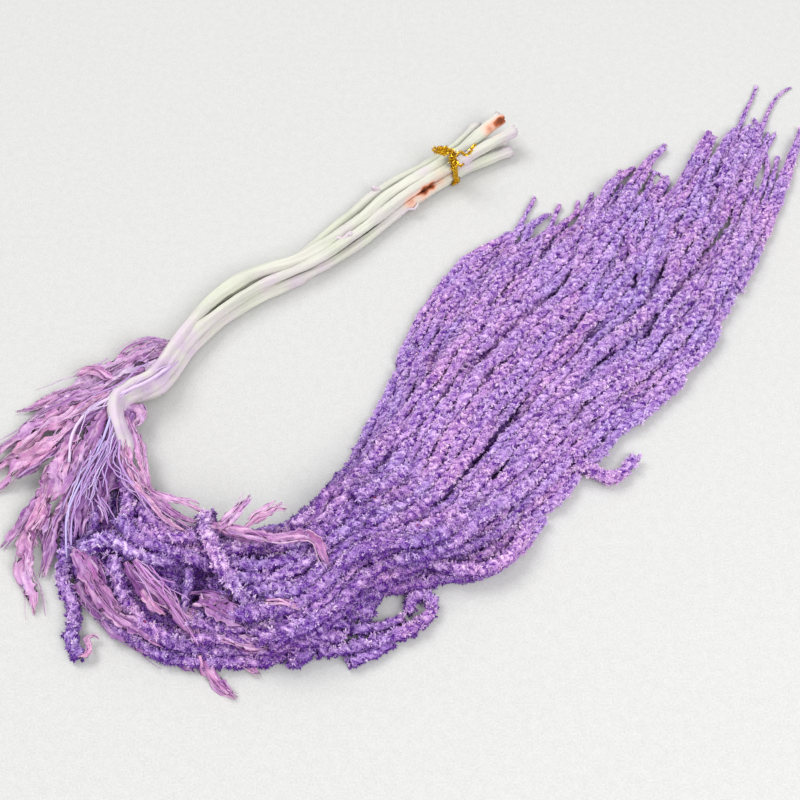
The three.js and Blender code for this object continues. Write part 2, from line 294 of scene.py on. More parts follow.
@dataclass
class Shell:
    """Points and faces of one piece in the making, with a look of four numbers for each point."""

    points: list[Array] = field(default_factory=list)
    faces: list[Array] = field(default_factory=list)
    looks: list[Array] = field(default_factory=list)
    smooth: list[Array] = field(default_factory=list)
    count: int = 0

    def add(self, points: Array, faces: Array, look: Array, smooth: bool) -> None:
        """Adds a surface.

        Args:
            points: its points, in mm.
            faces: its faces, as rows of point numbers.
            look: one row of four numbers a point, which the finish reads.
            smooth: whether light runs smoothly over its edges.
        """
        points = np.array(points, float)
        points[:, 2] = np.maximum(points[:, 2], FLOOR_GAP)
        self.points.append(points)
        self.faces.append(faces + self.count)
        self.looks.append(np.broadcast_to(look, (len(points), 4)))
        self.smooth.append(np.full(len(faces), smooth))
        self.count += len(points)

    def to_object(self, name: str, material: Material) -> bpy.types.Object:
        """Makes the Blender object.

        Args:
            name: what to call it.
            material: its finish.

        Returns:
            The object, linked to the scene, with its place in its mesh.
        """
        points = to_frame(np.vstack(self.points)).astype(np.float32)
        corners = np.concatenate([part.ravel() for part in self.faces]).astype(np.int32)
        sides = np.concatenate([np.full(len(part), part.shape[1]) for part in self.faces])
        mesh = bpy.data.meshes.new(name)
        mesh.vertices.add(len(points))
        mesh.vertices.foreach_set("co", points.ravel())
        mesh.loops.add(len(corners))
        mesh.loops.foreach_set("vertex_index", corners)
        mesh.polygons.add(len(sides))
        mesh.polygons.foreach_set("loop_start", (np.cumsum(sides) - sides).astype(np.int32))
        mesh.polygons.foreach_set("use_smooth", np.concatenate(self.smooth))
        mesh.update(calc_edges=True)
        look = mesh.attributes.new("look", "FLOAT_COLOR", "POINT")
        look.data.foreach_set("color", np.vstack(self.looks).astype(np.float32).ravel())
        piece = bpy.data.objects.new(name, mesh)
        piece.data.materials.append(material)
        bpy.context.scene.collection.objects.link(piece)
        return piece


def close_tube(rings: Array, start: Array, end: Array) -> tuple[Array, Array]:
    """Joins rings of points into one closed tube.

    Args:
        rings: one ring of points for each place along the tube.
        start: the point that closes the first ring.
        end: the point that closes the last.

    Returns:
        The points and the outward triangles.
    """
    rows, sides, _ = rings.shape
    points = np.vstack([rings.reshape(-1, 3), start, end])
    i = np.arange(rows - 1)[:, None] * sides
    j = np.arange(sides)[None]
    a, b = i + j, i + (j + 1) % sides
    quads = np.stack([np.stack([a, a + sides, b], -1), np.stack([b, a + sides, b + sides], -1)], 2)
    ring = np.arange(sides)
    after = (ring + 1) % sides
    last = (rows - 1) * sides
    caps = [np.column_stack([ring, after, np.full(sides, rows * sides)]),
            np.column_stack([last + after, last + ring, np.full(sides, rows * sides + 1)])]
    return points, np.vstack([quads.reshape(-1, 3), *caps])


def rings_round(points: Array, reach: Array) -> Array:
    """Places rings round a line.

    Args:
        points: the line.
        reach: for each point, how far each of the ring's points is from the line.

    Returns:
        The rings' points.
    """
    side, up = carried_frame(points)
    angle = np.arange(reach.shape[1]) * TURN / reach.shape[1]
    out = side[:, None] * np.cos(angle)[None, :, None] + up[:, None] * np.sin(angle)[None, :, None]
    return points[:, None] + reach[..., None] * out


def deselect_all() -> None:
    """Leaves nothing selected, so that an operator acts on the next new piece alone."""
    if bpy.context.mode != "OBJECT":
        bpy.ops.object.mode_set(mode="OBJECT")
    bpy.ops.object.select_all(action="DESELECT")


def taken(pattern: bpy.types.Object) -> tuple[Array, Array]:
    """Reads a modelled pattern's points and faces, and removes it from the scene.

    Args:
        pattern: the object, whose faces all have as many corners.

    Returns:
        Its points and its faces.
    """
    deselect_all()
    mesh = pattern.data
    points = np.array([v.co for v in mesh.vertices], float)
    faces = np.array([tuple(face.vertices) for face in mesh.polygons], int)
    bpy.data.objects.remove(pattern)
    bpy.data.meshes.remove(mesh)
    return points, faces


def seat(piece: bpy.types.Object, slot: str, *nodes: str) -> None:
    """Gives a finished piece its body, and hides the frame nodes that it stands for.

    Args:
        piece: the piece.
        slot: its material slot; not used.
        nodes: the frame nodes, if it stands for any.
    """
    if nodes:
        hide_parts(*nodes)
    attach(piece, BODY)
    LOG.info("%s: %d faces", piece.name, len(piece.data.polygons))


# Finishes


class Nodes:
    """A small hand for building one material's nodes."""

    def __init__(self, name: str) -> None:
        """Starts a material with one Principled shader."""
        self.material = bpy.data.materials.new(name)
        self.material.use_nodes = True
        self.tree = self.material.node_tree
        self.shader = self.tree.nodes["Principled BSDF"]

    def add(self, kind: str, inputs: dict | None = None, **settings: object) -> bpy.types.Node:
        """Adds a node.

        Args:
            kind: the node's type, without its ShaderNode start.
            inputs: sockets by name or number, each a value or another node's output.
            settings: the node's own settings.

        Returns:
            The node.
        """
        node = self.tree.nodes.new("ShaderNode" + kind)
        for key, value in settings.items():
            setattr(node, key, value)
        for key, value in (inputs or {}).items():
            self.feed(node.inputs[key], value)
        return node

    def feed(self, socket: Socket, value: object) -> None:
        """Links an output to a socket, or sets the socket's own value."""
        if isinstance(value, Socket):
            self.tree.links.new(value, socket)
        else:
            socket.default_value = value

    def noise(self, place: Socket, scale: float, detail: float = 3.0) -> Socket:
        """Returns a cloudy pattern's factor, with the given scale and detail."""
        node = self.add("TexNoise", {"Vector": place, "Scale": scale, "Detail": detail})
        return node.outputs["Fac"]

    def step(self, factor: Socket, low: float, high: float) -> Socket:
        """Returns 0 below low, 1 above high, and a share between them."""
        node = self.add("MapRange", {"Value": factor, "From Min": low, "From Max": high})
        return node.outputs["Result"]

    def mix(self, factor: object, a: object, b: object, how: str = "MIX") -> Socket:
        """Mixes two colours.

        Args:
            factor: how much of the second.
            a: the first colour.
            b: the second colour.
            how: the kind of mixing.

        Returns:
            The colour output.
        """
        node = self.add("Mix", data_type="RGBA", blend_type=how)
        self.feed(node.inputs[0], factor)
        self.feed(node.inputs[6], (*a, 1.0) if isinstance(a, tuple) else a)
        self.feed(node.inputs[7], (*b, 1.0) if isinstance(b, tuple) else b)
        return node.outputs[2]

    def maths(self, how: str, *values: object) -> Socket:
        """Returns the outcome of one sum on values or outputs."""
        node = self.add("Math", operation=how)
        for socket, value in zip(node.inputs, values):
            self.feed(socket, value)
        return node.outputs[0]

    def bump(self, height: Socket, strength: float, distance: float) -> None:
        """Roughens the surface by a height pattern, with the given strength and distance."""
        node = self.add("Bump", {"Height": height, "Strength": strength, "Distance": distance})
        self.tree.links.new(node.outputs["Normal"], self.shader.inputs["Normal"])

    def look(self) -> list[Socket]:
        """Returns the piece's look attribute as red, green and blue outputs and alpha."""
        source = self.add("Attribute", attribute_name="look")
        parts = self.add("SeparateColor", {"Color": source.outputs["Color"]})
        return [*parts.outputs[:3], source.outputs["Alpha"]]

    def place(self) -> Socket:
        """Returns the object coordinates."""
        return self.add("TexCoord").outputs["Object"]

    def finish(self, colour: Socket, roughness: float, **constants: object) -> Material:
        """Feeds the shader.

        Args:
            colour: the base colour.
            roughness: the roughness.
            constants: other sockets, with underscores for spaces.

        Returns:
            The material.
        """
        self.feed(self.shader.inputs["Base Color"], colour)
        self.shader.inputs["Roughness"].default_value = roughness
        for name, value in constants.items():
            self.shader.inputs[name.replace("_", " ")].default_value = value
        return self.material


def srgb(red: int, green: int, blue: int) -> tuple[float, float, float]:
    """Returns a colour given in 255ths as the light that Blender mixes."""
    shares = [value / 255 for value in (red, green, blue)]
    return tuple(c / 12.92 if c <= 0.04045 else ((c + 0.055) / 1.055) ** 2.4 for c in shares)


@dataclass(frozen=True)
class GrainFinish:
    """Matt, dyed, papery grains: look holds tip, chance, tint and seed; tip carries painted light and shade,
    and chance a painted highlight mixed with random paleness.
    """

    # deep is the purple that painted shade turns the grains to, and also their darker random tone
    deep: tuple = srgb(82, 22, 134)
    blue: tuple = srgb(202, 174, 240)
    pink: tuple = srgb(236, 178, 232)
    pale: tuple = srgb(255, 242, 248)
    seed: tuple = srgb(150, 22, 44)
    cloud: float = 45.0
    grit: float = 1500.0
    grit_depth: float = 0.0005
    roughness: float = 0.7

    def material(self) -> Material:
        """Builds the material.

        Returns:
            The material.
        """
        n = Nodes("dyed_grains")
        tip, chance, tint, seed = n.look()
        place = n.place()
        cloud = n.step(n.noise(place, self.cloud, 2.0), 0.35, 0.65)
        share = n.maths("ADD", n.maths("MULTIPLY", cloud, 0.5), n.maths("MULTIPLY", tint, 0.5))
        dye = n.mix(share, self.blue, self.pink)
        # Paler where chance is high: partly a painted highlight, partly at random
        lit = n.mix(n.maths("MULTIPLY", chance, 0.9), dye, self.pale)
        grit = n.step(n.noise(place, self.grit, 1.0), 0.35, 0.65)
        level = n.maths("ADD", tip, n.maths("MULTIPLY", n.maths("SUBTRACT", grit, 0.5), 0.35))
        # Low levels turn deep purple: mostly painted shade
        body = n.mix(n.step(level, 0.0, 0.85), self.deep, lit)
        n.bump(grit, 0.5, self.grit_depth)
        return n.finish(n.mix(seed, body, self.seed), self.roughness, Specular_IOR_Level=0.1)


@dataclass(frozen=True)
class StemFinish:
    """Bleached, ridged stems: look holds dye, rot, greenness and shade, which is painted shade in the
    grooves and the pith, with a random tone.
    """

    ivory: tuple = srgb(208, 207, 196)
    green: tuple = srgb(198, 204, 182)
    grey: tuple = srgb(178, 176, 174)
    lilac: tuple = srgb(204, 186, 204)
    plum: tuple = srgb(120, 66, 146)
    brown: tuple = srgb(92, 40, 22)
    rust: tuple = srgb(176, 96, 58)
    halo: tuple = srgb(226, 184, 164)
    blotches: float = 150.0
    grain: float = 500.0
    grain_depth: float = 0.0004
    glow_depth: tuple = (0.003, 0.0027, 0.0024)
    roughness: float = 0.7

    def material(self) -> Material:
        """Builds the material.

        Returns:
            The material.
        """
        n = Nodes("bleached_stem")
        dye, rot, green, shade = n.look()
        place = n.place()
        blotch = n.noise(place, self.blotches, 5.0)
        base = n.mix(green, self.ivory, self.green)
        # Shade greys the stems: painted shade
        base = n.mix(n.maths("MULTIPLY", shade, 0.6), base, self.grey)
        base = n.mix(n.maths("MULTIPLY", dye, n.step(blotch, 0.25, 0.6)), base, self.lilac)
        base = n.mix(n.step(dye, 1.0, 2.0), base, self.plum)
        uneven = n.maths("MULTIPLY", n.maths("SUBTRACT", blotch, 0.5), 1.8)
        spoil = n.maths("ADD", rot, n.maths("MULTIPLY", rot, uneven))
        base = n.mix(n.step(spoil, 0.02, 0.4), base, self.halo)
        base = n.mix(n.step(spoil, 0.35, 0.8), base, self.rust)
        base = n.mix(n.step(spoil, 0.7, 1.4), base, self.brown)
        n.bump(n.noise(place, self.grain, 4.0), 0.3, self.grain_depth)
        return n.finish(base, self.roughness, Specular_IOR_Level=0.25, Subsurface_Weight=0.25,
                        Subsurface_Radius=self.glow_depth)


@dataclass(frozen=True)
class LeafFinish:
    """Thin dyed leaves: look holds ridge light, bleaching, pinkness and shade; ridge light is a painted
    highlight on raised pleats and random paleness on fibres, and shade is painted shade.
    """

    lilac: tuple = srgb(188, 146, 204)
    pink: tuple = srgb(214, 142, 186)
    pale: tuple = srgb(236, 208, 232)
    dark: tuple = srgb(122, 58, 140)
    grey: tuple = srgb(212, 200, 220)
    cloud: float = 330.0
    veins: float = 1100.0
    vein_depth: float = 0.0009
    glow_depth: tuple = (0.002, 0.001, 0.0015)
    roughness: float = 0.85

    def material(self) -> Material:
        """Builds the material.

        Returns:
            The material.
        """
        n = Nodes("dyed_leaf")
        ridge_light_and_paleness, bleach, pinkness, shade = n.look()
        place = n.place()
        cloud = n.noise(place, self.cloud, 5.0)
        base = n.mix(pinkness, self.lilac, self.pink)
        base = n.mix(bleach, base, self.grey)
        base = n.mix(n.maths("MULTIPLY", n.step(cloud, 0.5, 0.68), 0.45), base, self.dark)
        base = n.mix(n.maths("MULTIPLY", n.step(cloud, 0.46, 0.3), 0.5), base, self.pale)
        # Raised pleats turn pale, a painted highlight; fibres turn pale at random
        base = n.mix(n.maths("MULTIPLY", ridge_light_and_paleness, 0.75), base, self.pale)
        # Painted shade in the folds and on leaves that lie in shade
        base = n.mix(n.maths("MULTIPLY", shade, 0.85), base, self.dark)
        n.bump(n.maths("ADD", cloud, n.noise(place, self.veins, 4.0)), 0.8, self.vein_depth)
        return n.finish(base, self.roughness, Specular_IOR_Level=0.2, Subsurface_Weight=0.12,
                        Subsurface_Radius=self.glow_depth)


@dataclass(frozen=True)
class ThreadFinish:
    """Fine stalks, bluish white to lilac: look holds blueness, chance, dye and pinkness."""

    white: tuple = srgb(222, 204, 228)
    blue: tuple = srgb(186, 182, 230)
    lilac: tuple = srgb(176, 122, 194)
    pink: tuple = srgb(190, 110, 178)
    cloud: float = 160.0
    cloud_depth: float = 0.0003
    glow_depth: tuple = (0.001, 0.001, 0.001)
    roughness: float = 0.5

    def material(self) -> Material:
        """Builds the material.

        Returns:
            The material.
        """
        n = Nodes("pale_stalk")
        blue, _, dye, pinkness = n.look()
        cloud = n.noise(n.place(), self.cloud)
        base = n.mix(blue, self.white, self.blue)
        base = n.mix(n.maths("MULTIPLY", dye, n.maths("ADD", cloud, 0.3)), base, self.lilac)
        base = n.mix(pinkness, base, self.pink)
        n.bump(cloud, 0.3, self.cloud_depth)
        return n.finish(base, self.roughness, Subsurface_Weight=0.15, Subsurface_Radius=self.glow_depth)


@dataclass(frozen=True)
class TinselFinish:
    """Gold tinsel: look holds chance, which turns some slivers dark."""

    bright: tuple = srgb(255, 216, 64)
    deep: tuple = srgb(128, 76, 4)
    dents: float = 900.0
    dent_depth: float = 0.0003
    roughness: float = 0.25

    def material(self) -> Material:
        """Builds the material.

        Returns:
            The material.
        """
        n = Nodes("gold_tinsel")
        chance, _, _, _ = n.look()
        n.bump(n.noise(n.place(), self.dents, 2.0), 0.2, self.dent_depth)
        return n.finish(n.mix(chance, self.bright, self.deep), self.roughness, Metallic=1.0)


@dataclass(frozen=True)
class ClothFinish:
    """The pale cloth that the bunch lies on."""

    pale: tuple = srgb(205, 205, 204)
    thread: tuple = srgb(184, 184, 182)
    folds: float = 9.0
    slubs: float = 260.0
    weave: float = 1100.0
    relief: float = 0.012
    roughness: float = 0.9

    def material(self) -> Material:
        """Builds the material.

        Returns:
            The material.
        """
        n = Nodes("pale_cloth")
        place = n.place()
        fold = n.noise(place, self.folds)
        weave = n.step(n.noise(place, self.weave, 2.0), 0.3, 0.7)
        slub = n.noise(place, self.slubs, 4.0)
        base = n.mix(n.maths("MULTIPLY", n.maths("ADD", weave, slub), 0.5), self.pale, self.thread)
        rise = n.maths("ADD", fold, n.maths("MULTIPLY", slub, 0.02))
        n.bump(n.maths("ADD", rise, n.maths("MULTIPLY", weave, 0.012)), 0.45, self.relief)
        return n.finish(base, self.roughness, Specular_IOR_Level=0.1)


# Tassels


class Level(Enum):
    """The three layers that the tassels lie in."""

    LOWER = "lower"
    MIDDLE = "middle"
    UPPER = "upper"


# Depth of each layer of tassels at the bend and at the tips, and the gap between layers, in mm
BEND_DEPTH = {Level.LOWER: 9.5, Level.MIDDLE: 7.5, Level.UPPER: 9.0}
TIP_DEPTH = {Level.LOWER: 5.0, Level.MIDDLE: 4.5, Level.UPPER: 4.0}
LAYER_GAP = 0.3


@dataclass
class Strand:
    """One flower strand: its middle line, its radius and its frame node at each point, and its dye.

    Anchored is how firmly it keeps its place on the floor, and glow how much paler than its place it is.
    """

    points: Array
    radius: Array
    tint: float
    nodes: list[str]
    seed: int
    anchored: float = 0.0
    glow: float = 0.0

    def runs(self) -> list[tuple[str, int, int]]:
        """Cuts the strand where it passes from one frame node to the next.

        Returns:
            For each run, its node and its first and last point.
        """
        cuts, first = [], 0
        for i in range(1, len(self.nodes)):
            if self.nodes[i] != self.nodes[first]:
                cuts.append((self.nodes[first], first, i))
                first = i
        cuts.append((self.nodes[first], first, len(self.nodes) - 1))
        return [cut for cut in cuts if cut[2] > cut[1]]


class Flow:
    """The field that the tassels follow: stations along it and shares across it."""

    spans = {
        Level.LOWER: ((0.0, 0.0), (1.0, 1.0)),
        Level.MIDDLE: ((0.05, 0.05), (0.96, 0.96)),
        Level.UPPER: ((0.10, 0.16), (0.84, 0.93)),
    }
    # For each layer: its rows of nodes, as the name, the number of cells and the last station
    rows = {
        Level.LOWER: (("collar_lower", 3, 8), ("bend_lower", 3, 15), ("fan_lower", 6, 33)),
        Level.MIDDLE: (("bend_middle", 3, 15), ("fan_middle", 5, 33)),
        Level.UPPER: (("collar_upper", 3, 9), ("bend_upper", 3, 16), ("fan_upper", 5, 33)),
    }
    grid_stations = 257
    grid_shares = 41

    def __init__(self) -> None:
        """Draws the two edges, and a grid of places between them."""
        self.inner = Route(INNER_EDGE)
        self.outer = Route(OUTER_EDGE)
        stations = np.linspace(0, STATIONS, self.grid_stations)
        shares = np.linspace(0, 1, self.grid_shares)
        self.grid = np.stack(np.meshgrid(stations, shares, indexing="ij"), -1).reshape(-1, 2)
        self.grid_spots = self.across(self.grid[:, 0], self.grid[:, 1])

    def across(self, station: Array, share: Array) -> Array:
        """Finds points on the floor.

        Args:
            station: how far along, from the bend to the tips.
            share: how far across, from the inner edge to the outer.

        Returns:
            One point of two numbers for each.
        """
        place = np.asarray(station, float) * self.inner.last / STATIONS
        share = np.asarray(share, float)[:, None]
        return self.inner.at(place) * (1 - share) + self.outer.at(place) * share

    def width(self, station: Array) -> Array:
        """Returns the distance from edge to edge at stations."""
        ends = [self.across(station, np.full(len(station), share)) for share in (0.0, 1.0)]
        return np.linalg.norm(ends[1] - ends[0], axis=1)

    def depth(self, level: Level, station: Array) -> Array:
        """Returns a layer's depth at stations."""
        fade = smoothstep(FAN_START, STATIONS, station)
        return BEND_DEPTH[level] * (1 - fade) + TIP_DEPTH[level] * fade

    def middle(self, level: Level, station: Array) -> Array:
        """Finds the height of a layer's middle, which lies on the layers below it.

        Args:
            level: the layer.
            station: how far along.

        Returns:
            The height at each station, in mm.
        """
        below = {Level.LOWER: (), Level.MIDDLE: (Level.LOWER,), Level.UPPER: (Level.LOWER, Level.MIDDLE)}
        height = self.depth(level, station) / 2
        for under in below[level]:
            height = height + self.depth(under, station) + LAYER_GAP
        return height

    def span(self, level: Level, station: Array) -> tuple[Array, Array]:
        """Returns the shares at which a layer starts and ends across, at stations."""
        fade = smoothstep(2, STATIONS, station)
        (low, low_end), (high, high_end) = self.spans[level]
        return low + (low_end - low) * fade, high + (high_end - high) * fade

    def node(self, level: Level, station: float, share: float) -> str:
        """Names the node at a place.

        Args:
            level: the layer.
            station: how far along.
            share: how far across the layer, from 0 to 1.

        Returns:
            The node's name.
        """
        name, cells, _ = next(row for row in self.rows[level] if station <= row[2])
        return f"tassel_{name}_{min(cells - 1, max(0, int(share * cells))) + 1}"

    def nodes_under(self, level: Level, points: Array) -> list[str]:
        """Names the node that each point of a traced line stands for.

        Args:
            level: the layer.
            points: the line.

        Returns:
            One name a point.
        """
        near = [int(np.argmin(((self.grid_spots - spot[:2]) ** 2).sum(1))) for spot in points]
        stations, shares = self.grid[near, 0], self.grid[near, 1]
        low, high = self.span(level, stations)
        within = float(np.mean((shares - low) / (high - low)))
        return [self.node(level, station, within) for station in stations]


@dataclass(frozen=True)
class Batch:
    """Strands of one layer that start near one station, and end at some stations past the end line."""

    level: Level
    count: int
    first: float
    past: float
    start_spread: float
    end_spread: float
    shares: tuple[float, float] = (0.0, 1.0)


BATCHES = (
    Batch(Level.LOWER, 7, 1.2, -0.2, 0.4, 0.4),
    Batch(Level.LOWER, 13, 11.0, -0.3, 3.0, 0.6),
    Batch(Level.MIDDLE, 8, 8.4, -0.6, 0.6, 0.8),
    Batch(Level.MIDDLE, 11, 14.0, -0.8, 3.0, 1.0),
    Batch(Level.UPPER, 3, 3.4, -1.4, 0.5, 1.4, (0.0, 0.36)),
    Batch(Level.UPPER, 4, 8.6, -1.4, 0.5, 1.4, (0.42, 1.0)),
    Batch(Level.UPPER, 12, 13.0, -1.4, 3.5, 1.4),
)


# The station at which the mass of tassels ends, by the share across it
END_LINE = (
    (0.0, 27.6), (0.12, 27.8), (0.2, 29.0), (0.24, 30.4), (0.3, 31.2), (0.36, 31.2), (0.4, 29.0),
    (0.45, 28.3), (0.52, 28.6), (0.56, 30.6), (0.6, 31.9), (0.75, 31.9), (0.8, 30.9), (0.86, 29.0),
    (0.9, 28.6), (0.95, 29.0), (1.0, 31.2),
)


@dataclass(frozen=True)
class Traced:
    """A strand, shoot or stalk that the photograph shows by itself, traced in pixels with heights in mm.

    Name is its layer or its node, start and end are its radii, and tint tells how it is dyed; shade tells
    how strongly a shoot or stalk is dyed, and on a strand, below 0, how much of the painted shade about the
    bend it is spared.
    """

    name: str
    start: float
    end: float
    tint: float
    points: tuple
    shade: float = 0.0


TRACED_STRANDS = (
    # Strands that cross the collar on top, and those that edge it
    Traced("upper", 5.0, 3.6, 0.55, (
        (204, 512, 18), (208, 532, 22), (214, 550, 24), (223, 566, 24), (234, 584, 23), (248, 601, 20),
        (266, 616, 17), (288, 625, 14), (314, 631, 12), (342, 636, 9)), -0.4),
    Traced("upper", 3.6, 3.2, 0.20, (
        (232, 562, 19), (240, 580, 19), (254, 592, 18), (274, 604, 16), (296, 614, 14), (322, 621, 12),
        (350, 622, 10)), -0.2),
    Traced("lower", 4.4, 3.6, 0.60, (
        (110, 552, 16), (115, 568, 16), (119, 586, 15), (126, 602, 13), (138, 617, 11), (154, 632, 9),
        (174, 643, 7), (200, 648, 6), (230, 649, 6), (262, 650, 6), (296, 645, 6), (326, 638, 6)), -0.25),
    Traced("lower", 3.6, 3.4, 0.45, (
        (88, 596, 6), (104, 614, 5), (122, 630, 4.5), (142, 644, 4), (166, 656, 4), (196, 661, 4),
        (230, 661, 4), (262, 660, 4), (290, 652, 4)), -0.2),
    Traced("upper", 4.6, 3.8, 0.08, (
        (84, 553, 14), (91, 541, 18), (104, 534, 20), (120, 540, 20), (138, 549, 19), (158, 554, 18),
        (177, 553, 16), (194, 548, 14)), -0.35),
    Traced("upper", 3.6, 3.6, 0.10, ((80, 536, 14), (86, 548, 15), (92, 556, 14)), -0.3),
    Traced("upper", 4.8, 4.4, 0.75, (
        (126, 474, 15), (127, 490, 18), (125, 506, 19), (122, 522, 18), (130, 536, 16)), -0.25),
    Traced("upper", 3.8, 3.6, 0.60, (
        (138, 488, 14), (150, 502, 16), (162, 516, 16), (178, 530, 15), (196, 540, 14)), -0.2),
    Traced("upper", 2.9, 2.4, 0.10, (
        (187, 562, 16), (188, 576, 16), (185, 592, 14), (184, 606, 12), (188, 622, 9)), -0.25),
    Traced("lower", 3.4, 3.2, 0.30, ((100, 496, 12), (94, 512, 12), (89, 530, 12), (80, 548, 11)), -0.1),
    # Strands that show on top of the fan
    Traced("upper", 2.4, 3.0, 0.75, (
        (527, 252, 9), (510, 272, 11), (493, 293, 13), (482, 314, 14), (473, 333, 15))),
    Traced("upper", 2.4, 2.8, 0.85, ((529, 269, 9), (508, 294, 12), (489, 318, 14))),
    Traced("upper", 2.6, 3.0, 0.70, (
        (602, 240, 11), (588, 256, 13), (575, 273, 14), (561, 292, 15), (549, 309, 15), (538, 324, 16))),
    Traced("upper", 2.6, 3.0, 0.90, (
        (633, 240, 12), (640, 258, 14), (644, 278, 15), (647, 300, 15), (634, 322, 15), (615, 342, 16))),
    Traced("upper", 4.2, 3.6, 0.65, (
        (322, 508, 14), (350, 517, 15), (378, 529, 14), (404, 545, 13), (430, 560, 10), (458, 571, 7),
        (486, 571, 5), (508, 559, 5), (522, 540, 5), (528, 522, 5)), -0.4),
    Traced("upper", 3.6, 3.2, 0.50, (
        (330, 530, 14), (356, 536, 14), (384, 547, 12), (410, 559, 9), (436, 567, 6)), -0.3),
    Traced("lower", 3.6, 3.0, 0.45, (
        (440, 576, 4), (465, 576, 4), (490, 569, 4), (512, 555, 4), (530, 537, 4), (542, 518, 4))),
    # The inner edge of the fan, and the thick clumps that it ends in
    Traced("lower", 3.0, 2.4, 0.55, (
        (399, 362, 5), (410, 337, 5), (426, 307, 5), (446, 279, 5), (468, 255, 5), (494, 241, 5),
        (516, 232, 4))),
    Traced("upper", 3.0, 1.8, 0.60, (
        (416, 338, 10), (436, 304, 10), (460, 274, 9), (486, 253, 8), (506, 240, 6), (524, 222, 5))),
    Traced("middle", 3.4, 2.6, 0.55, (
        (650, 240, 8), (668, 206, 8), (686, 172, 8), (699, 148, 7), (710, 130, 5))),
    Traced("middle", 3.4, 2.8, 0.15, (
        (680, 235, 9), (698, 198, 9), (714, 162, 8), (726, 140, 7), (736, 127, 5))),
    Traced("upper", 3.3, 2.6, 0.45, (
        (706, 235, 9), (722, 195, 9), (738, 160, 8), (747, 140, 7), (754, 128, 5))),
    Traced("lower", 3.2, 2.6, 0.50, ((668, 222, 4), (684, 190, 4), (698, 162, 4), (714, 136, 4))),
    Traced("lower", 3.2, 2.6, 0.60, ((716, 190, 4), (728, 166, 4), (738, 146, 4), (748, 126, 4))),
    Traced("middle", 3.6, 2.2, 0.55, (
        (606, 228, 7), (624, 200, 7), (640, 176, 6), (653, 156, 5), (664, 146, 3.5))),
    Traced("lower", 3.2, 2.4, 0.50, (
        (594, 240, 4), (612, 212, 4), (628, 188, 4), (644, 166, 4), (656, 152, 3.4))),
    # Strands deep in the collar, under the leaves
    Traced("lower", 3.6, 3.4, 0.30, (
        (140, 556, 8), (158, 566, 7), (178, 575, 6), (200, 582, 6), (224, 588, 6), (250, 594, 6),
        (276, 600, 6))),
    Traced("lower", 3.4, 3.2, 0.20, (
        (150, 572, 5), (168, 582, 5), (186, 590, 5), (206, 594, 5), (232, 600, 5))),
    # Thin tips at the end of the fan, and along its two edges
    Traced("lower", 3.4, 2.0, 0.50, (
        (738, 288, 4), (754, 258, 4), (768, 226, 4), (782, 193, 3.5), (793, 160, 3), (801, 130, 2.5))),
    Traced("lower", 3.6, 2.2, 0.60, (
        (724, 290, 5), (744, 256, 5), (762, 222, 5), (777, 190, 4), (788, 164, 4), (798, 140, 3))),
    Traced("lower", 3.2, 1.6, 0.50, (
        (716, 268, 5), (736, 236, 5), (752, 208, 4.5), (763, 186, 4), (768, 168, 3), (766, 152, 2.5))),
    Traced("lower", 2.7, 0.9, 0.60, (
        (722, 168, 4), (736, 135, 4), (745, 112, 3), (752, 98, 2), (757, 85, 1.5))),
    Traced("lower", 2.7, 1.2, 0.55, ((745, 195, 4), (757, 168, 4), (766, 149, 3), (775, 133, 2))),
    Traced("lower", 2.9, 1.5, 0.40, ((752, 235, 4), (764, 205, 4), (772, 180, 3), (778, 156, 2.5))),
    Traced("lower", 2.7, 1.3, 0.60, ((500, 268, 4), (512, 240, 4), (523, 218, 3), (535, 196, 2.5))),
    Traced("lower", 2.6, 1.5, 0.65, ((535, 262, 4), (545, 240, 4), (552, 222, 3), (560, 204, 2.5))),
    Traced("middle", 2.8, 1.4, 0.55, ((565, 250, 6), (576, 228, 6), (584, 210, 5), (592, 192, 4))),
    Traced("middle", 3.0, 1.4, 0.55, ((585, 245, 6), (600, 212, 6), (611, 188, 5), (621, 168, 4))),
    Traced("upper", 3.2, 0.9, 0.50, (
        (610, 222, 9), (628, 186, 8), (645, 162, 6), (656, 152, 4), (665, 143, 2.5))),
    Traced("lower", 2.2, 0.9, 0.40, ((625, 236, 4), (635, 214, 4), (643, 200, 3), (650, 188, 2))),
    Traced("lower", 1.0, 1.0, 0.60, (
        (642, 166, 5), (655, 169, 3), (664, 176, 2), (667, 186, 2), (662, 197, 2))),
    Traced("upper", 2.4, 2.2, 0.95, (
        (628, 228, 13), (634, 246, 14), (642, 264, 14), (648, 284, 14), (651, 303, 13))),
    # Loose strands
    Traced("loose_strand_hook", 4.0, 3.1, 0.60, (
        (318, 650, 4), (340, 648, 4), (362, 646, 3.6), (393, 636, 3.4), (412, 628, 3.4), (427, 618, 3.2),
        (433, 605, 3.2), (427, 595, 3.2), (416, 594, 3.2), (410, 602, 3.2), (409, 612, 3.2)), -0.3),
    Traced("loose_strand_hook", 3.0, 3.0, 0.55, (
        (351, 663, 3), (362, 658, 3), (376, 651, 3.4), (390, 642, 4)), -0.3),
    Traced("loose_strand_short", 3.4, 2.6, 0.50, (
        (340, 627, 4), (366, 629, 3.4), (385, 625, 3), (402, 618, 3)), -0.3),
    Traced("loose_strand_hanging", 4.3, 3.4, 0.10, (
        (70, 548, 8), (63, 568, 6), (64, 586, 5), (73, 602, 4.4), (73, 622, 4.2), (71, 642, 4),
        (79, 656, 3.6)), -0.4),
    Traced("loose_strand_stub", 4.4, 3.1, 0.60, (
        (575, 465, 5), (590, 470, 4.6), (605, 477, 4.2), (616, 477, 3.5), (627, 468, 3.2), (635, 458, 3))),
    Traced("loose_strand_tip", 2.7, 0.8, 0.60, (
        (742, 178, 4), (757, 148, 4), (764, 122, 3), (772, 104, 2.5), (781, 92, 2), (790, 87, 1.6))),
)


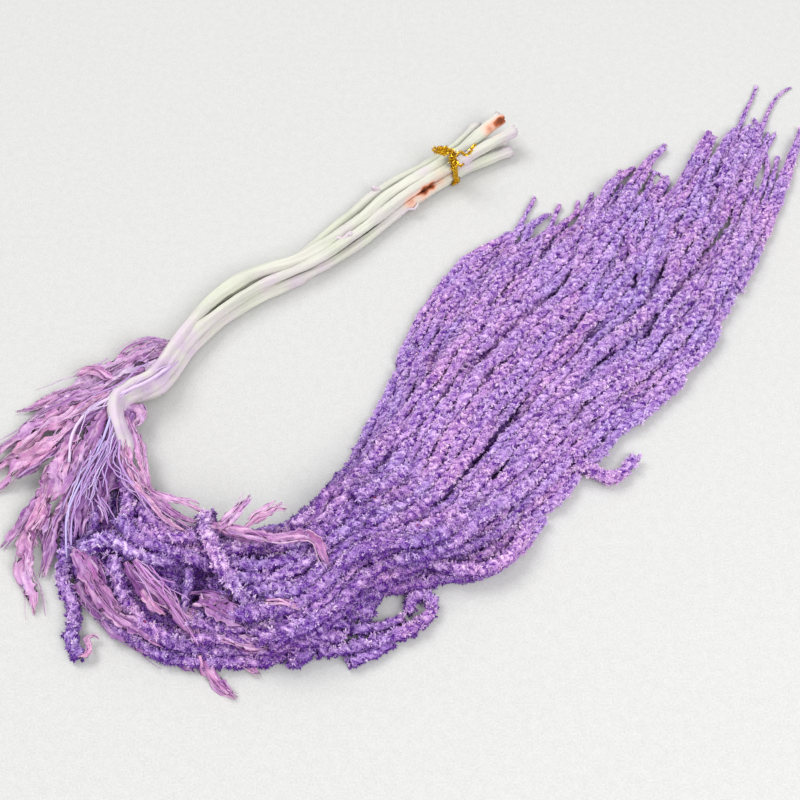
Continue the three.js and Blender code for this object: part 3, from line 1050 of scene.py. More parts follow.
class Pile:
    """Lets the strands settle on the floor and on each other, so that none hangs or cuts through.

    Fit is how near two middle lines may come, as a share of the sum of their radii, and weight how far
    gravity pulls a strand down in one round, in mm.
    """

    rounds = 48
    rounds_a_search = 8
    reach = 12.0
    fit = 0.82
    weight = 0.22
    push = 0.25
    memory = 0.985
    floor_share = 0.92

    def __init__(self, strands: list[Strand]) -> None:
        """Gathers the strands' points into one cloud."""
        self.strands = strands
        self.owner = np.concatenate([np.full(len(s.points), i) for i, s in enumerate(strands)])
        self.start = np.vstack([s.points for s in strands])
        self.spots = self.start.copy()
        self.radius = np.concatenate([s.radius for s in strands])
        self.anchored = np.concatenate([np.full(len(s.points), s.anchored) for s in strands])

    def pairs(self) -> tuple[Array, Array]:
        """Finds the points of different strands that lie within reach of each other.

        Returns:
            The numbers of the first and of the second of each pair.
        """
        tree = KDTree(len(self.spots))
        for i, spot in enumerate(self.spots):
            tree.insert(spot, i)
        tree.balance()
        first, second = [], []
        for i, spot in enumerate(self.spots):
            for _, j, _ in tree.find_range(spot, self.reach):
                if j > i and self.owner[i] != self.owner[j]:
                    first.append(i)
                    second.append(j)
        return np.array(first), np.array(second)

    def smooth(self, moves: Array) -> Array:
        """Returns the moves evened out along each strand, as a strand bends only gently."""
        inside = self.owner[1:] == self.owner[:-1]
        left = np.where(np.concatenate([[False], inside])[:, None], np.roll(moves, 1, axis=0), moves)
        right = np.where(np.concatenate([inside, [False]])[:, None], np.roll(moves, -1, axis=0), moves)
        return 0.5 * moves + 0.25 * (left + right)

    def settle(self) -> None:
        """Pulls the strands down and pushes those that touch apart, round after round."""
        for turn in range(self.rounds):
            if turn % self.rounds_a_search == 0:
                first, second = self.pairs()
            self.spots[:, 2] -= self.weight
            gap = self.spots[second] - self.spots[first]
            gap[:, 2] += 1e-3
            size = np.linalg.norm(gap, axis=1)
            overlap = np.maximum(0.0, self.fit * (self.radius[first] + self.radius[second]) - size)
            push = gap / size[:, None] * (self.push * overlap)[:, None]
            moves = np.zeros_like(self.spots)
            np.add.at(moves, second, push)
            np.add.at(moves, first, -push)
            moves[:, :2] *= (1 - self.anchored)[:, None]
            self.spots += moves
            change = self.smooth(self.spots - self.start)
            change[:, :2] *= self.memory
            self.spots = self.start + change
            self.spots[:, 2] = np.maximum(self.spots[:, 2], self.floor_share * self.radius)
        for i, strand in enumerate(self.strands):
            strand.points = self.spots[self.owner == i]


class Sky:
    """Tells how much of the sky above a spot the strands leave open."""

    sides = 6
    share_of_radius = 0.72
    # The rays' angles above the floor, and how many stand round at each
    fans = ((0.17, 6), (0.6, 6), (1.05, 4), (1.5, 1))

    def __init__(self, strands: list[Strand]) -> None:
        """Builds one coarse tube for each strand."""
        points, faces, count = [], [], 0
        for strand in strands:
            reach = np.repeat(self.share_of_radius * strand.radius[:, None], self.sides, axis=1)
            rings = rings_round(strand.points, reach)
            spots, shapes = close_tube(rings, strand.points[0], strand.points[-1])
            points.append(spots)
            faces.append(shapes + count)
            count += len(spots)
        self.tree = BVHTree.FromPolygons(np.vstack(points).tolist(), np.vstack(faces).tolist())
        self.rays = [
            Vector((math.cos(turn) * math.cos(rise), math.sin(turn) * math.cos(rise), math.sin(rise)))
            for rise, turns in self.fans
            for turn in np.arange(turns) * TURN / turns + rise
        ]

    def share(self, spots: Array) -> Array:
        """Measures the open sky.

        Args:
            spots: where to look from.

        Returns:
            The share of the rays that meet nothing, for each spot.
        """
        cast, rays = self.tree.ray_cast, self.rays
        free = [sum(cast(spot, ray)[0] is None for ray in rays) for spot in spots.tolist()]
        return np.array(free) / len(rays)


class Clusters:
    """The round clusters that the grains of one strand stand in: a pattern over its length and girth."""

    length: float = 6.4

    def __init__(self, seed: int) -> None:
        """Draws the pattern's phases."""
        self.phases = np.random.default_rng(seed).uniform(0, TURN, 5)

    def at(self, run: Array, angle: Array) -> Array:
        """Reads the pattern.

        Args:
            run: distances along the strand, in mm.
            angle: angles round it.

        Returns:
            How far the surface stands out, between -1 and 1.
        """
        a, b, c, d, e = self.phases
        turns = TURN * run / self.length
        wide = np.sin(turns + a + 0.9 * np.sin(angle + b)) * np.cos(2 * angle + c + 0.35 * turns)
        narrow = np.sin(1.7 * turns + d) * np.cos(3 * angle + e - 0.5 * turns)
        return 0.6 * wide + 0.4 * narrow


@dataclass(frozen=True)
class BractPattern:
    """A tiny pointed papery bract, modelled once and copied all over the tassels."""

    width: float = 0.74
    length: float = 1.0
    flatness: float = 0.7

    def build(self) -> tuple[Array, Array]:
        """Models the bract: a flattened three-sided cone that stands on its base.

        Returns:
            The points, about one unit high, and the triangles.
        """
        deselect_all()
        bpy.ops.mesh.primitive_cone_add(vertices=3, radius1=self.width, radius2=0.0, depth=self.length,
                                        end_fill_type="NGON")
        bract = bpy.context.active_object
        bpy.ops.object.mode_set(mode="EDIT")
        bpy.ops.mesh.select_all(action="SELECT")
        bpy.ops.transform.resize(value=(1.0, self.flatness, 1.0))
        bpy.ops.transform.translate(value=(0.0, 0.0, self.length / 2))
        bpy.ops.mesh.normals_make_consistent(inside=False)
        return taken(bract)


@dataclass
class Tufts:
    """Tufts of bracts along one run of a strand: where each is, which way it faces, its size and its painted
    brightness.

    Open is how freely the sky lights it, which the bracts' colour takes in as painted light and shade, and
    count the number of its bracts.
    """

    spot: Array
    out: Array
    size: Array
    light: Array
    open: Array | None = None
    count: Array | None = None


@dataclass
class Tassels:
    """All the flower strands, laid along the flow, settled, and covered in tufts of bracts.

    Lengths are in mm. A wander is given by its size and its longest wavelength, and a range, such as
    bend_range, by where an effect starts and where it is full.
    """

    flow: Flow
    slots: dict[str, str]
    seed: int = 11
    step: float = 5.0
    fine_grain: float = 1.45
    coarse_grain: float = 4.5
    core_share: float = 0.78
    crumble: float = 0.42
    tuft_gap: float = 2.6
    tuft_size: float = 1.5
    bracts: int = 7
    bend_radius: float = 3.8
    fan_radius: float = 3.25
    edge_inset: float = 2.6
    seeds_share: float = 0.0004
    cluster_height: float = 0.22
    flank_shade: float = 0.95
    uneven_dye: float = 0.16
    bend_darkening: float = 0.02
    # Painted shade on low-lying grains about the bend
    low_shade: float = 0.36
    patchy_tone_and_shade: float = 0.8
    stations: int = 60
    place_jitter: float = 0.45
    slant: float = 0.1
    slow_drift: tuple = (0.06, 13.0)
    quick_drift: tuple = (0.026, 3.4)
    rise_and_fall: tuple = (2.0, 7.0)
    thinning_range: tuple = (9, 22)
    thickness_range: tuple = (0.74, 1.24)
    lumps: tuple = (0.16, 30.0)
    small_lumps: tuple = (0.1, 11.0)
    traced_lumps: tuple = (0.1, 22.0)
    taper_range: tuple = (30, 70)
    bend_range: tuple = (-100.0, -10.0)
    low_range: tuple = (7.0, 19.0)
    flank_range: tuple = (-0.1, 0.85)
    core_sky_range: tuple = (0.05, 0.6)
    tuft_sky_range: tuple = (0.04, 0.62)
    full_tuft_range: tuple = (0.0, 0.3)
    core_look_out: float = 1.25
    tuft_look_out: float = 1.3
    least_core: float = 0.3
    core_floor: float = 0.1
    bract_floor: float = 0.05
    hidden_light: float = 0.15
    painted_highlight_from: float = 0.45
    speckle: float = 0.08
    tuft_rows: float = 0.82
    tuft_turn: float = 0.42
    tuft_shift: float = 0.6
    tuft_range: tuple = (0.7, 1.25)
    tuft_reach: float = 0.5
    bract_tilt: float = 0.95
    bract_sunk: float = 0.25
    bract_lengths: tuple = (0.75, 1.15)
    bract_widths: tuple = (0.65, 1.0)
    strands: list[Strand] = field(default_factory=list)

    def lay_batch(self, batch: Batch, rng: Chance) -> None:
        """Lays a batch of strands along the flow.

        Args:
            batch: what to lay.
            rng: the source of chance.
        """
        for index in range(batch.count):
            first = batch.first + rng.uniform(-1, 1) * batch.start_spread
            share = (index + 0.5 + rng.uniform(-self.place_jitter, self.place_jitter)) / batch.count
            share = batch.shares[0] + share * (batch.shares[1] - batch.shares[0])
            last = float(np.interp(share, *zip(*END_LINE))) + batch.past
            last = last + rng.uniform(-1, 1) * batch.end_spread
            station = np.linspace(first, last, self.stations)
            low, high = self.flow.span(batch.level, station)
            drift = wander(rng, station, *self.slow_drift)
            drift = drift + rng.uniform(-self.slant, self.slant) * (station - first) / 16
            drift = drift + wander(rng, station, *self.quick_drift)
            inside = np.clip(share + drift, 0.01, 0.99)
            inset = self.edge_inset / self.flow.width(station)
            floor = self.flow.across(station, inset + (1 - 2 * inset) * (low + (high - low) * inside))
            lift = wander(rng, station, *self.rise_and_fall)
            line = np.column_stack([floor, self.flow.middle(batch.level, station) + lift, station])
            line = resample(line, self.step)
            thinning = smoothstep(*self.thinning_range, line[:, 3])
            radius = self.bend_radius + (self.fan_radius - self.bend_radius) * thinning
            radius = self.girth(line, radius * rng.uniform(*self.thickness_range), rng)
            nodes = [self.flow.node(batch.level, s, inside.mean()) for s in line[:, 3]]
            tint = float(np.clip(rng.normal(0.5, 0.3), 0, 1))
            seed = int(rng.integers(1 << 30))
            glow = self.uneven_dye * float(np.sin(seed))
            self.strands.append(Strand(line[:, :3], radius, tint, nodes, seed, glow=glow))

    def girth(self, line: Array, radius: Array, rng: Chance) -> Array:
        """Sizes a strand along its length: lumpy, and narrower at the tip.

        Args:
            line: its points.
            radius: its usual radius at each point.
            rng: the source of chance.

        Returns:
            The radius at each point.
        """
        run = run_length(line)
        left = run[-1] - run
        tip = 0.55 + 0.45 * smoothstep(0, rng.uniform(*self.taper_range), left)
        uneven = 1 + wander(rng, run, *self.lumps) + wander(rng, run, *self.small_lumps)
        return radius * uneven * tip * (0.7 + 0.3 * smoothstep(-1.5, 4.0, left))

    def lay_traced(self, traced: Traced, rng: Chance) -> None:
        """Lays a strand that the photograph shows by itself.

        Args:
            traced: the strand.
            rng: the source of chance.
        """
        line = PHOTOGRAPH.route(traced.points).even(self.step)
        run = run_length(line)
        radius = np.interp(run, (0, run[-1]), (traced.start, traced.end))
        radius = radius * (1 + wander(rng, run, *self.traced_lumps))
        if traced.name in {level.value for level in Level}:
            nodes = self.flow.nodes_under(Level(traced.name), line)
        else:
            nodes = [traced.name] * len(line)
        seed = int(rng.integers(1 << 30))
        self.strands.append(Strand(line, radius, traced.tint, nodes, seed, 1.0, -traced.shade))

    def lay(self) -> None:
        """Lays every strand and lets them settle."""
        rng = np.random.default_rng(self.seed)
        for batch in BATCHES:
            self.lay_batch(batch, rng)
        for traced in TRACED_STRANDS:
            self.lay_traced(traced, rng)
        Pile(self.strands).settle()
        total = sum(run_length(s.points)[-1] for s in self.strands)
        LOG.info("%d strands, %.0f mm in all", len(self.strands), total)

    def deep(self, spots: Array) -> Array:
        """Returns how near the bend spots are, which weighs the darkening, the painted shade and the bracts'
        shape there: from 1 about the bend to 0 in the fan.
        """
        return 1 - smoothstep(*self.bend_range, spots[..., 0] + spots[..., 1])

    def lit(self, spots: Array, glow: float) -> Array:
        """Tells how pale the grains are painted at spots: a little darker about the bend, and darker low
        down there, which is painted shade.

        Args:
            spots: where.
            glow: how much paler than that the strand is.

        Returns:
            A factor for the brightness.
        """
        low = 1 - smoothstep(*self.low_range, spots[..., 2])
        return 1 - self.deep(spots) * (self.bend_darkening + self.low_shade * low - glow)

    def flank(self, spots: Array, out: Array) -> Array:
        """Returns how pale spots are painted by the way they face: about the bend a strand's sides get
        painted shade.
        """
        flank = 1 - smoothstep(*self.flank_range, out[..., 2])
        return 1 - self.flank_shade * self.deep(spots) * flank

    def add_core(self, shell: Shell, strand: Strand, first: int, last: int, sky: Sky,
                 rng: Chance) -> None:
        """Makes the crumbly surface of a run of a strand: fine where the sky can see it, coarse elsewhere.

        Args:
            shell: the piece in the making.
            strand: the strand.
            first: the run's first point.
            last: its last point.
            sky: tells what is hidden.
            rng: the source of chance.
        """
        line = np.column_stack([strand.points, strand.radius])[first:last + 1]
        hidden = sky.share(line[:, :3] + UP * strand.radius[first:last + 1, None]).max() == 0
        grain = self.coarse_grain if hidden else self.fine_grain
        line = resample(line, grain)
        radius = line[:, 3:]
        sides = max(5, int(round(TURN * float(radius.mean()) * self.core_share / grain)))
        bump = rng.uniform(-1, 1, (len(line), sides))
        lumps = Clusters(strand.seed).at(run_length(line)[:, None], np.arange(sides) * TURN / sides)
        reach = radius * self.core_share * (1 + self.cluster_height * lumps) + self.crumble * bump
        rings = rings_round(line[:, :3], np.maximum(reach, self.least_core))
        points, faces = close_tube(rings, line[0, :3], line[-1, :3])
        points[:, 2] = np.maximum(points[:, 2], self.core_floor)
        look = np.zeros((len(points), 4))
        # Paler where the surface stands out and darker in its hollows, which is painted shade, with a random
        # speckle
        tip = 0.3 + 0.32 * bump + 0.16 * lumps + rng.normal(0, self.speckle, bump.shape)
        # A hidden run is painted evenly dark, as shade
        if hidden:
            tip = np.full(bump.shape, self.hidden_light)
        else:
            out = rings - line[:, None, :3]
            above = line[:, None, :3] + out * self.core_look_out
            share = sky.share(above.reshape(-1, 3)).reshape(bump.shape)
            # Painted shade where little sky is open above, low down about the bend, and on the strand's
            # sides there
            tip = tip * (0.15 + 0.95 * smoothstep(*self.core_sky_range, share))
            tip = tip * self.lit(rings, strand.glow)
            tip = tip * self.flank(rings, unit(out))
        look[:-2, 0] = np.clip(tip, 0, 1).ravel()
        # The brightest parts turn pale: a painted highlight
        look[:, 1] = np.clip(look[:, 0] - self.painted_highlight_from, 0, 1)
        look[:, 2] = strand.tint
        shell.add(points, faces, look, True)

    def tufts_on(self, strand: Strand, first: int, last: int) -> Tufts:
        """Spreads tufts over a run of a strand.

        Args:
            strand: the strand.
            first: the run's first point.
            last: its last point.

        Returns:
            The tufts.
        """
        rng = np.random.default_rng(strand.seed + first)
        line = resample(np.column_stack([strand.points, strand.radius])[first:last + 1], self.tuft_gap)
        points, radius = line[:, :3], line[:, 3]
        side, up = carried_frame(points)
        ahead = headings(points)
        around = np.maximum(3, np.round(TURN * radius * self.tuft_rows / self.tuft_gap)).astype(int)
        row = np.repeat(np.arange(len(points)), around)
        order = np.concatenate([np.arange(count) for count in around])
        turn = rng.uniform(-self.tuft_turn, self.tuft_turn, len(row))
        angle = (order + 0.5 * (row % 2) + turn) * TURN / around[row]
        shift = rng.uniform(-self.tuft_shift, self.tuft_shift, len(row)) * self.tuft_gap
        lump = Clusters(strand.seed).at(run_length(points)[row] + shift, angle)
        out = side[row] * np.cos(angle)[:, None] + up[row] * np.sin(angle)[:, None]
        size = self.tuft_size * rng.uniform(*self.tuft_range, len(row))
        size = size * np.minimum(1.0, 0.45 + radius[row] / 5.5)
        reach = radius[row] * (1 + self.cluster_height * lump) - size
        stray = rng.uniform(-self.tuft_reach, self.tuft_reach, len(row))
        reach = reach + stray * np.minimum(1.0, radius[row] / 3.0)
        spot = points[row] + out * reach[:, None] + ahead[row] * shift[:, None]
        if last == len(strand.points) - 1:
            spot = np.vstack([spot, points[-1:]])
            out = np.vstack([out, ahead[-1:]])
            size = np.append(size, min(1.0, 0.6 * radius[-1] + 0.3))
            lump = np.append(lump, 0.0)
        # A random tone, with painted light where the tuft's cluster stands out
        light = np.clip(rng.normal(0.5, 0.24, len(size)) + 0.5 * lump, 0, 1)
        return Tufts(spot, out, size, light)

    def add_tufts(self, shell: Shell, pattern: tuple, tufts: Tufts, tint: float,
                  rng: Chance) -> None:
        """Copies bracts into tufts.

        Args:
            shell: the piece in the making.
            pattern: the bract's points and triangles.
            tufts: where they go, and how many in each.
            tint: how pink the strand is.
            rng: the source of chance.
        """
        tuft = np.repeat(np.arange(len(tufts.count)), tufts.count)
        count = len(tuft)
        if count == 0:
            return
        shape, faces = pattern
        size = tufts.size[tuft]
        toward = unit(tufts.out[tuft] * self.bract_tilt + unit(rng.normal(0, 1, (count, 3))))
        side = unit(np.cross(toward, rng.normal(0, 1, (count, 3))))
        flat = np.cross(toward, side)
        root = tufts.spot[tuft] + toward * (self.bract_sunk * size)[:, None]
        deep = self.deep(root)
        length = size * rng.uniform(*self.bract_lengths, count) * (1 + 0.25 * deep)
        width = size * rng.uniform(*self.bract_widths, count) * (1 - 0.1 * deep)
        points = (root[:, None] + side[:, None] * shape[None, :, :1] * width[:, None, None]
                  + flat[:, None] * shape[None, :, 1:2] * width[:, None, None]
                  + toward[:, None] * shape[None, :, 2:] * length[:, None, None])
        points[..., 2] = np.maximum(points[..., 2], self.bract_floor)
        numbers = faces[None] + (np.arange(count) * len(shape))[:, None, None]
        # A bract's point is paler than its root: partly its own paler point, partly painted shade at the
        # root, more so about the bend
        tip = np.where(shape[None, :, 2] > shape[:, 2].mean(), 1.0, 0.42 - 0.1 * deep[:, None])
        # Lighter where the sky is open over the tuft: painted light and shade
        bright = (tufts.light * tufts.open)[tuft][:, None]
        level = 0.12 + 0.56 * tufts.open[tuft][:, None] + 0.5 * bright
        look = np.empty((count, len(shape), 4))
        look[..., 0] = np.clip(tip * level + rng.normal(0, self.speckle, (count, 1)), 0, 1)
        # Some points turn pale at random, more on brightly painted tufts: partly a painted highlight
        pale = rng.beta(1.2, 2.6, count)[:, None]
        look[..., 1] = np.clip(pale * (0.25 + 1.1 * bright) * tip * 1.3, 0, 1)
        look[..., 2] = np.clip(tint + rng.normal(0, 0.2, count), 0, 1)[:, None]
        look[..., 3] = (rng.random(count) < self.seeds_share)[:, None]
        shell.add(points.reshape(-1, 3), numbers.reshape(-1, 3), look.reshape(-1, 4), False)

    def dress(self, material: Material) -> None:
        """Builds one piece for each node of tassels and loose strands.

        Args:
            material: the bracts' finish.
        """
        runs: dict[str, list[tuple[Strand, int, int]]] = {}
        for strand in self.strands:
            for node, first, last in strand.runs():
                runs.setdefault(node, []).append((strand, first, last))
        sky = Sky(self.strands)
        bract = BractPattern().build()
        for node, parts in sorted(runs.items()):
            rng = np.random.default_rng(sum(map(ord, node)))
            shell = Shell()
            for strand, first, last in parts:
                self.add_core(shell, strand, first, last, sky, rng)
                tufts = self.tufts_on(strand, first, last)
                share = sky.share(tufts.spot + tufts.out * self.tuft_look_out)
                full = self.bracts * (0.3 + 0.7 * smoothstep(*self.full_tuft_range, share))
                full = full * (tufts.size / self.tuft_size)
                least = np.where(share > 0.08, 2, 1)
                tufts.count = np.where(share > 0, np.maximum(least, np.round(full)), 0).astype(int)
                # Painted shade: less open sky, low down and on the sides about the bend, and dim tufts there
                # darker still
                patchy = self.patchy_tone_and_shade * self.deep(tufts.spot)
                tufts.open = smoothstep(*self.tuft_sky_range, share) * self.lit(tufts.spot, strand.glow)
                tufts.open = tufts.open * (1 - patchy * np.clip(1 - 1.5 * tufts.light, 0, 1))
                tufts.open = tufts.open * self.flank(tufts.spot, tufts.out)
                self.add_tufts(shell, bract, tufts, strand.tint, rng)
            seat(shell.to_object("grains_" + node, material), self.slots[node], node)


# Stems


@dataclass(frozen=True)
class Stem:
    """One stem: where its cut end is, and its sideways place and height along the bundle's route.

    Fade is the station at which it starts to thin out among the tassels.
    """

    node: str
    start: float
    side: tuple
    height: tuple
    girth: float
    tilt: float
    fade: float = 8.2


STEMS = (
    Stem("stem_1", 0.22, (18, 10.6, 11.4, 9.0, 6.6, 8.4, 7.2, 4.4, 4.6, 9.4, 12.6, 11.4, 11),
         (4.5, 4.2, 3.8, 3.4, 3.2, 3.2, 3.2, 3.6, 5.4, 9.6, 9, 7, 6), 1.12, 0.5),
    Stem("stem_2", 0.0, (7, 3.8, 3.2, 0.6, 1.8, 7.2, 5.8, 2.4, 1.0, 7.2, -7.3, -10, -8),
         (12, 9.4, 8.9, 8.4, 8.4, 8.8, 9.2, 10.4, 13, 15, 13.5, 8, 6), 1.2, -0.4, 9.7),
    Stem("stem_3", 0.17, (-11.5, -4.2, -5.8, -8.0, -5.6, -4.8, -3.6, -2.2, -3.4, 5, 4, 2, 2),
         (4.5, 4.2, 3.8, 3.4, 3.2, 3.2, 3.2, 3.6, 5.4, 9, 9, 7, 6), 0.95, 0.3, 8.6),
    Stem("stem_4", 0.1, (-1.5, 1.6, 0.6, -0.4, 0.2, 1.2, 1.4, 1.4, 2.2, 5.4, 6.8, 5.7, 5.5),
         (4.5, 4.2, 3.6, 3.2, 3.2, 3.2, 3.2, 3.6, 5.1, 9.2, 9, 7, 6), 0.9, 0.6),
    Stem("stem_5", 0.0, (-4.5, -1.6, -2.8, -4.6, -3.2, -2.2, -2.2, -0.8, -2.2, 5, 2, 0, 0),
         (11, 9.4, 8.9, 8.4, 8.4, 8.7, 8.6, 9.0, 10.4, 11.5, 9, 7, 6), 1.0, -0.2, 8.7),
)


@dataclass(frozen=True)
class Mark:
    """A stain or a swelling on the stems: its middle by pixel and height, its size in mm, its strength."""

    x: float
    y: float
    height: float
    size: float
    strength: float

    def at(self, points: Array) -> Array:
        """Returns how strong the mark is at points: full at its middle, and less all round."""
        near = np.linalg.norm(points - PHOTOGRAPH.spot(self.x, self.y, self.height), axis=-1)
        return self.strength * np.exp(-(near / self.size) ** 2)


ROT_MARKS = (Mark(502, 120, 14.5, 2.6, 2.0), Mark(498, 124, 14, 2.8, 1.3), Mark(491, 129, 13.5, 4.2, 0.6),
             Mark(431, 186, 7, 2.6, 1.5), Mark(424, 190, 7, 2.6, 1.8), Mark(417, 195, 6, 2.4, 1.2),
             Mark(410, 202, 5, 4.2, 0.7), Mark(421, 198, 4, 3.6, 0.5), Mark(440, 178, 7, 5.0, 0.28),
             Mark(449, 171, 7, 4.0, 0.26), Mark(125, 455, 16, 3.0, 0.4))
DYE_MARKS = (Mark(477, 120, 5, 8, 1.0), Mark(503, 112, 14, 6, 1.0), Mark(517, 137, 8, 9, 1.0),
             Mark(513, 151, 4, 6, 0.7), Mark(425, 172, 12, 4, 0.8), Mark(466, 162, 10, 8, 0.9),
             Mark(372, 184, 9, 5, 0.9), Mark(345, 238, 6, 7, 0.9), Mark(417, 208, 5, 6, 0.9),
             Mark(400, 212, 5, 7, 0.6), Mark(380, 224, 5, 7, 0.6), Mark(233, 272, 8, 6, 0.6),
             Mark(270, 280, 10, 7, 0.7), Mark(300, 285, 3, 8, 0.8), Mark(325, 268, 3, 8, 0.7),
             Mark(355, 246, 3, 7, 0.6), Mark(195, 345, 14, 18, 1.1), Mark(160, 370, 14, 16, 1.2),
             Mark(118, 402, 15, 14, 1.2), Mark(126, 436, 14, 12, 1.4), Mark(144, 388, 15, 14, 1.2),
             Mark(125, 430, 14, 14, 0.9), Mark(180, 320, 10, 12, 0.4), Mark(225, 325, 5, 10, 0.7))
# Scars of side shoots, which stand out from the stems
KNOTS = (Mark(370, 185, 9, 2.4, 1.8), Mark(345, 237, 7, 2.2, 1.6), Mark(357, 233, 6, 1.8, 1.4),
         Mark(417, 207, 5, 2.2, 2.0), Mark(233, 271, 12, 2.2, 1.4), Mark(270, 281, 10, 2.2, 1.5),
         Mark(300, 281, 3, 2.4, 1.5), Mark(466, 162, 9, 2.2, 1.4), Mark(425, 173, 11, 2.0, 1.2))


# Peeled bark and side shoots that lie on the stems: shade is how strongly they are dyed
SHOOTS = (
    Traced("stem_1", 2.0, 1.2, 0, ((381, 192, 5), (376, 189, 7), (372, 187, 8.5)), 0.9),
    Traced("stem_4", 1.1, 0.9, 0, (
        (333, 241, 8), (337, 238, 10), (343, 239, 10), (347, 235, 11), (351, 232, 11), (350, 236, 11)), 0.9),
    Traced("stem_3", 1.0, 0.6, 0, (
        (392, 218, 4), (401, 214, 4), (409, 209, 5), (414, 209, 5), (417, 206, 6), (418, 203, 6)), 0.8),
    Traced("stem_3", 1.0, 0.6, 0, ((305, 276, 4), (298, 282, 4), (292, 284, 3)), 1.0),
    Traced("stem_5", 1.2, 0.7, 0, ((274, 279, 8), (270, 282, 9), (267, 284, 9)), 0.8),
)


@dataclass
class Stems:
    """The five bleached stems, ridged and knotted, with rough cut ends.

    Ridges are given by how many stand round and how high they are; a range holds two stations.
    """

    radius: float = 2.85
    sides: int = 24
    step: float = 3.0
    groove_gap: float = 22.0
    groove_depth: float = 0.1
    ridges: tuple = ((2, 0.13), (3, 0.08), (5, 0.05), (9, 0.03))
    roughness: float = 0.016
    thick_and_thin: tuple = (0.1, 45)
    ridge_pitch: float = 55.0
    ridge_sway: tuple = (0.5, 90)
    taper: float = 0.76
    taper_length: float = 1.6
    bend_range: tuple = (6.0, 7.2)
    rim_share: float = 0.72
    pith_share: float = 0.55
    pith_depth: float = 1.6
    end_dye: float = 0.8
    end_dye_length: float = 5.0
    dyed_range: tuple = (7.2, 9.4)
    buried_range: tuple = (9.9, 10.5)
    shoot_sides: int = 7
    shoot_unevenness: float = 0.2
    seed: int = 5

    def place(self, stem: Stem, station: Array) -> Array:
        """Returns how far to the side and how high a stem lies at each station of the bundle's route."""
        return Route(list(zip(stem.side, stem.height))).at(station)

    def line(self, stem: Stem) -> Array:
        """Finds a stem's middle line.

        Args:
            stem: the stem.

        Returns:
            Its points, each with its station on the bundle's route as a fourth number.
        """
        route = Route(STEM_ROUTE)
        station = np.linspace(stem.start, route.last, 400)
        middle = route.at(station)
        ahead = unit(np.gradient(middle, axis=0))
        side, height = self.place(stem, station).T
        floor = middle + np.column_stack([ahead[:, 1], -ahead[:, 0]]) * side[:, None]
        return resample(np.column_stack([floor, height, station]), self.step)

    def grooves(self, run: Array, rng: Chance) -> Array:
        """Draws lengthwise grooves that change slowly along a stem.

        Args:
            run: distances along the stem.
            rng: the source of chance.

        Returns:
            One value for each point of each ring, between -1 and 1.
        """
        places = np.arange(0, run[-1] + 2 * self.groove_gap, self.groove_gap)
        return np.stack([np.interp(run, places, rng.uniform(-1, 1, len(places)))
                         for _ in range(self.sides)], axis=1)

    def reach(self, line: Array, stem: Stem, grooves: Array, rng: Chance) -> Array:
        """Sizes a stem all round: ridges, grooves and a taper past the bend.

        Args:
            line: its points and stations.
            stem: the stem.
            grooves: its grooves.
            rng: the source of chance.

        Returns:
            The distance from the middle line for each point of each ring.
        """
        run = run_length(line)
        angle = np.arange(self.sides) * TURN / self.sides
        station = line[:, 3]
        thin = self.taper * smoothstep(stem.fade, stem.fade + self.taper_length, station)
        size = self.radius * stem.girth * (1 - thin)
        size = size * (0.96 + wander(rng, run, *self.thick_and_thin) + 0.16 * smoothstep(6.5, 1, run))
        size = size * (1 + 0.2 * smoothstep(*self.bend_range, station))
        turn = rng.uniform(0, TURN) + run / self.ridge_pitch + wander(rng, run, *self.ridge_sway)
        ridges = sum(height * np.sin(count * (angle + turn[:, None]) + rng.uniform(0, TURN))
                     for count, height in self.ridges)
        rough = rng.normal(0, self.roughness, (len(line), self.sides))
        return size[:, None] * (1 + ridges + self.groove_depth * grooves + rough)

    def stains(self, points: Array, marks: tuple) -> Array:
        """Reads marks.

        Args:
            points: where.
            marks: the marks to read.

        Returns:
            The strength at each point, from 0 to 1.
        """
        total = np.zeros(points.shape[:-1])
        for mark in marks:
            total = np.maximum(total, mark.at(points))
        return total

    def dress(self, stem: Stem, material: Material, rng: Chance) -> None:
        """Builds one stem.

        Args:
            stem: the stem.
            material: its finish.
            rng: the source of chance.
        """
        line = self.line(stem)
        grooves = self.grooves(run_length(line), rng)
        reach = self.reach(line, stem, grooves, rng)
        rings = rings_round(line[:, :3], reach)
        for knot in KNOTS:
            reach = reach + knot.at(rings)
        rings = rings_round(line[:, :3], reach)
        back = -headings(line[:, :3])[0]
        slant = stem.tilt * (rings[0] - line[0, :3]) @ np.cross(back, UP)
        rings[0] = rings[0] + slant[:, None] * back * 0.5 + back * rng.uniform(-0.5, 0.5, (self.sides, 1))
        rim = line[0, :3] + (rings[0] - line[0, :3]) * self.rim_share
        pith = line[0, :3] + (rings[0] - line[0, :3]) * self.pith_share - back * self.pith_depth
        rings = np.concatenate([pith[None], rim[None], rings])
        points, faces = close_tube(rings, pith.mean(axis=0), line[-1, :3])
        run = np.concatenate([[0.0, 0.0], run_length(line)])
        groove_shade = -np.vstack([grooves[:1], grooves[:1], grooves])
        look = np.zeros((*rings.shape[:2], 4))
        dye = self.end_dye * np.exp(-run / self.end_dye_length)
        look[..., 0] = np.maximum(self.stains(rings, DYE_MARKS), dye[:, None])
        look[..., 1] = self.stains(rings, ROT_MARKS)
        look[..., 2] = np.clip(0.4 + wander(rng, run, 0.5, 80), 0, 1)[:, None]
        # Painted shade: sunken grooves are greyer, with a random tone along the stem
        look[..., 3] = np.clip(0.25 + 0.5 * groove_shade + wander(rng, run, 0.25, 30)[:, None], 0, 1)
        station = np.concatenate([line[:1, 3], line[:1, 3], line[:, 3]])
        inner = smoothstep(*self.dyed_range, station)
        buried = smoothstep(*self.buried_range, station)
        look[..., 0] = np.maximum(look[..., 0], (inner + buried)[:, None])
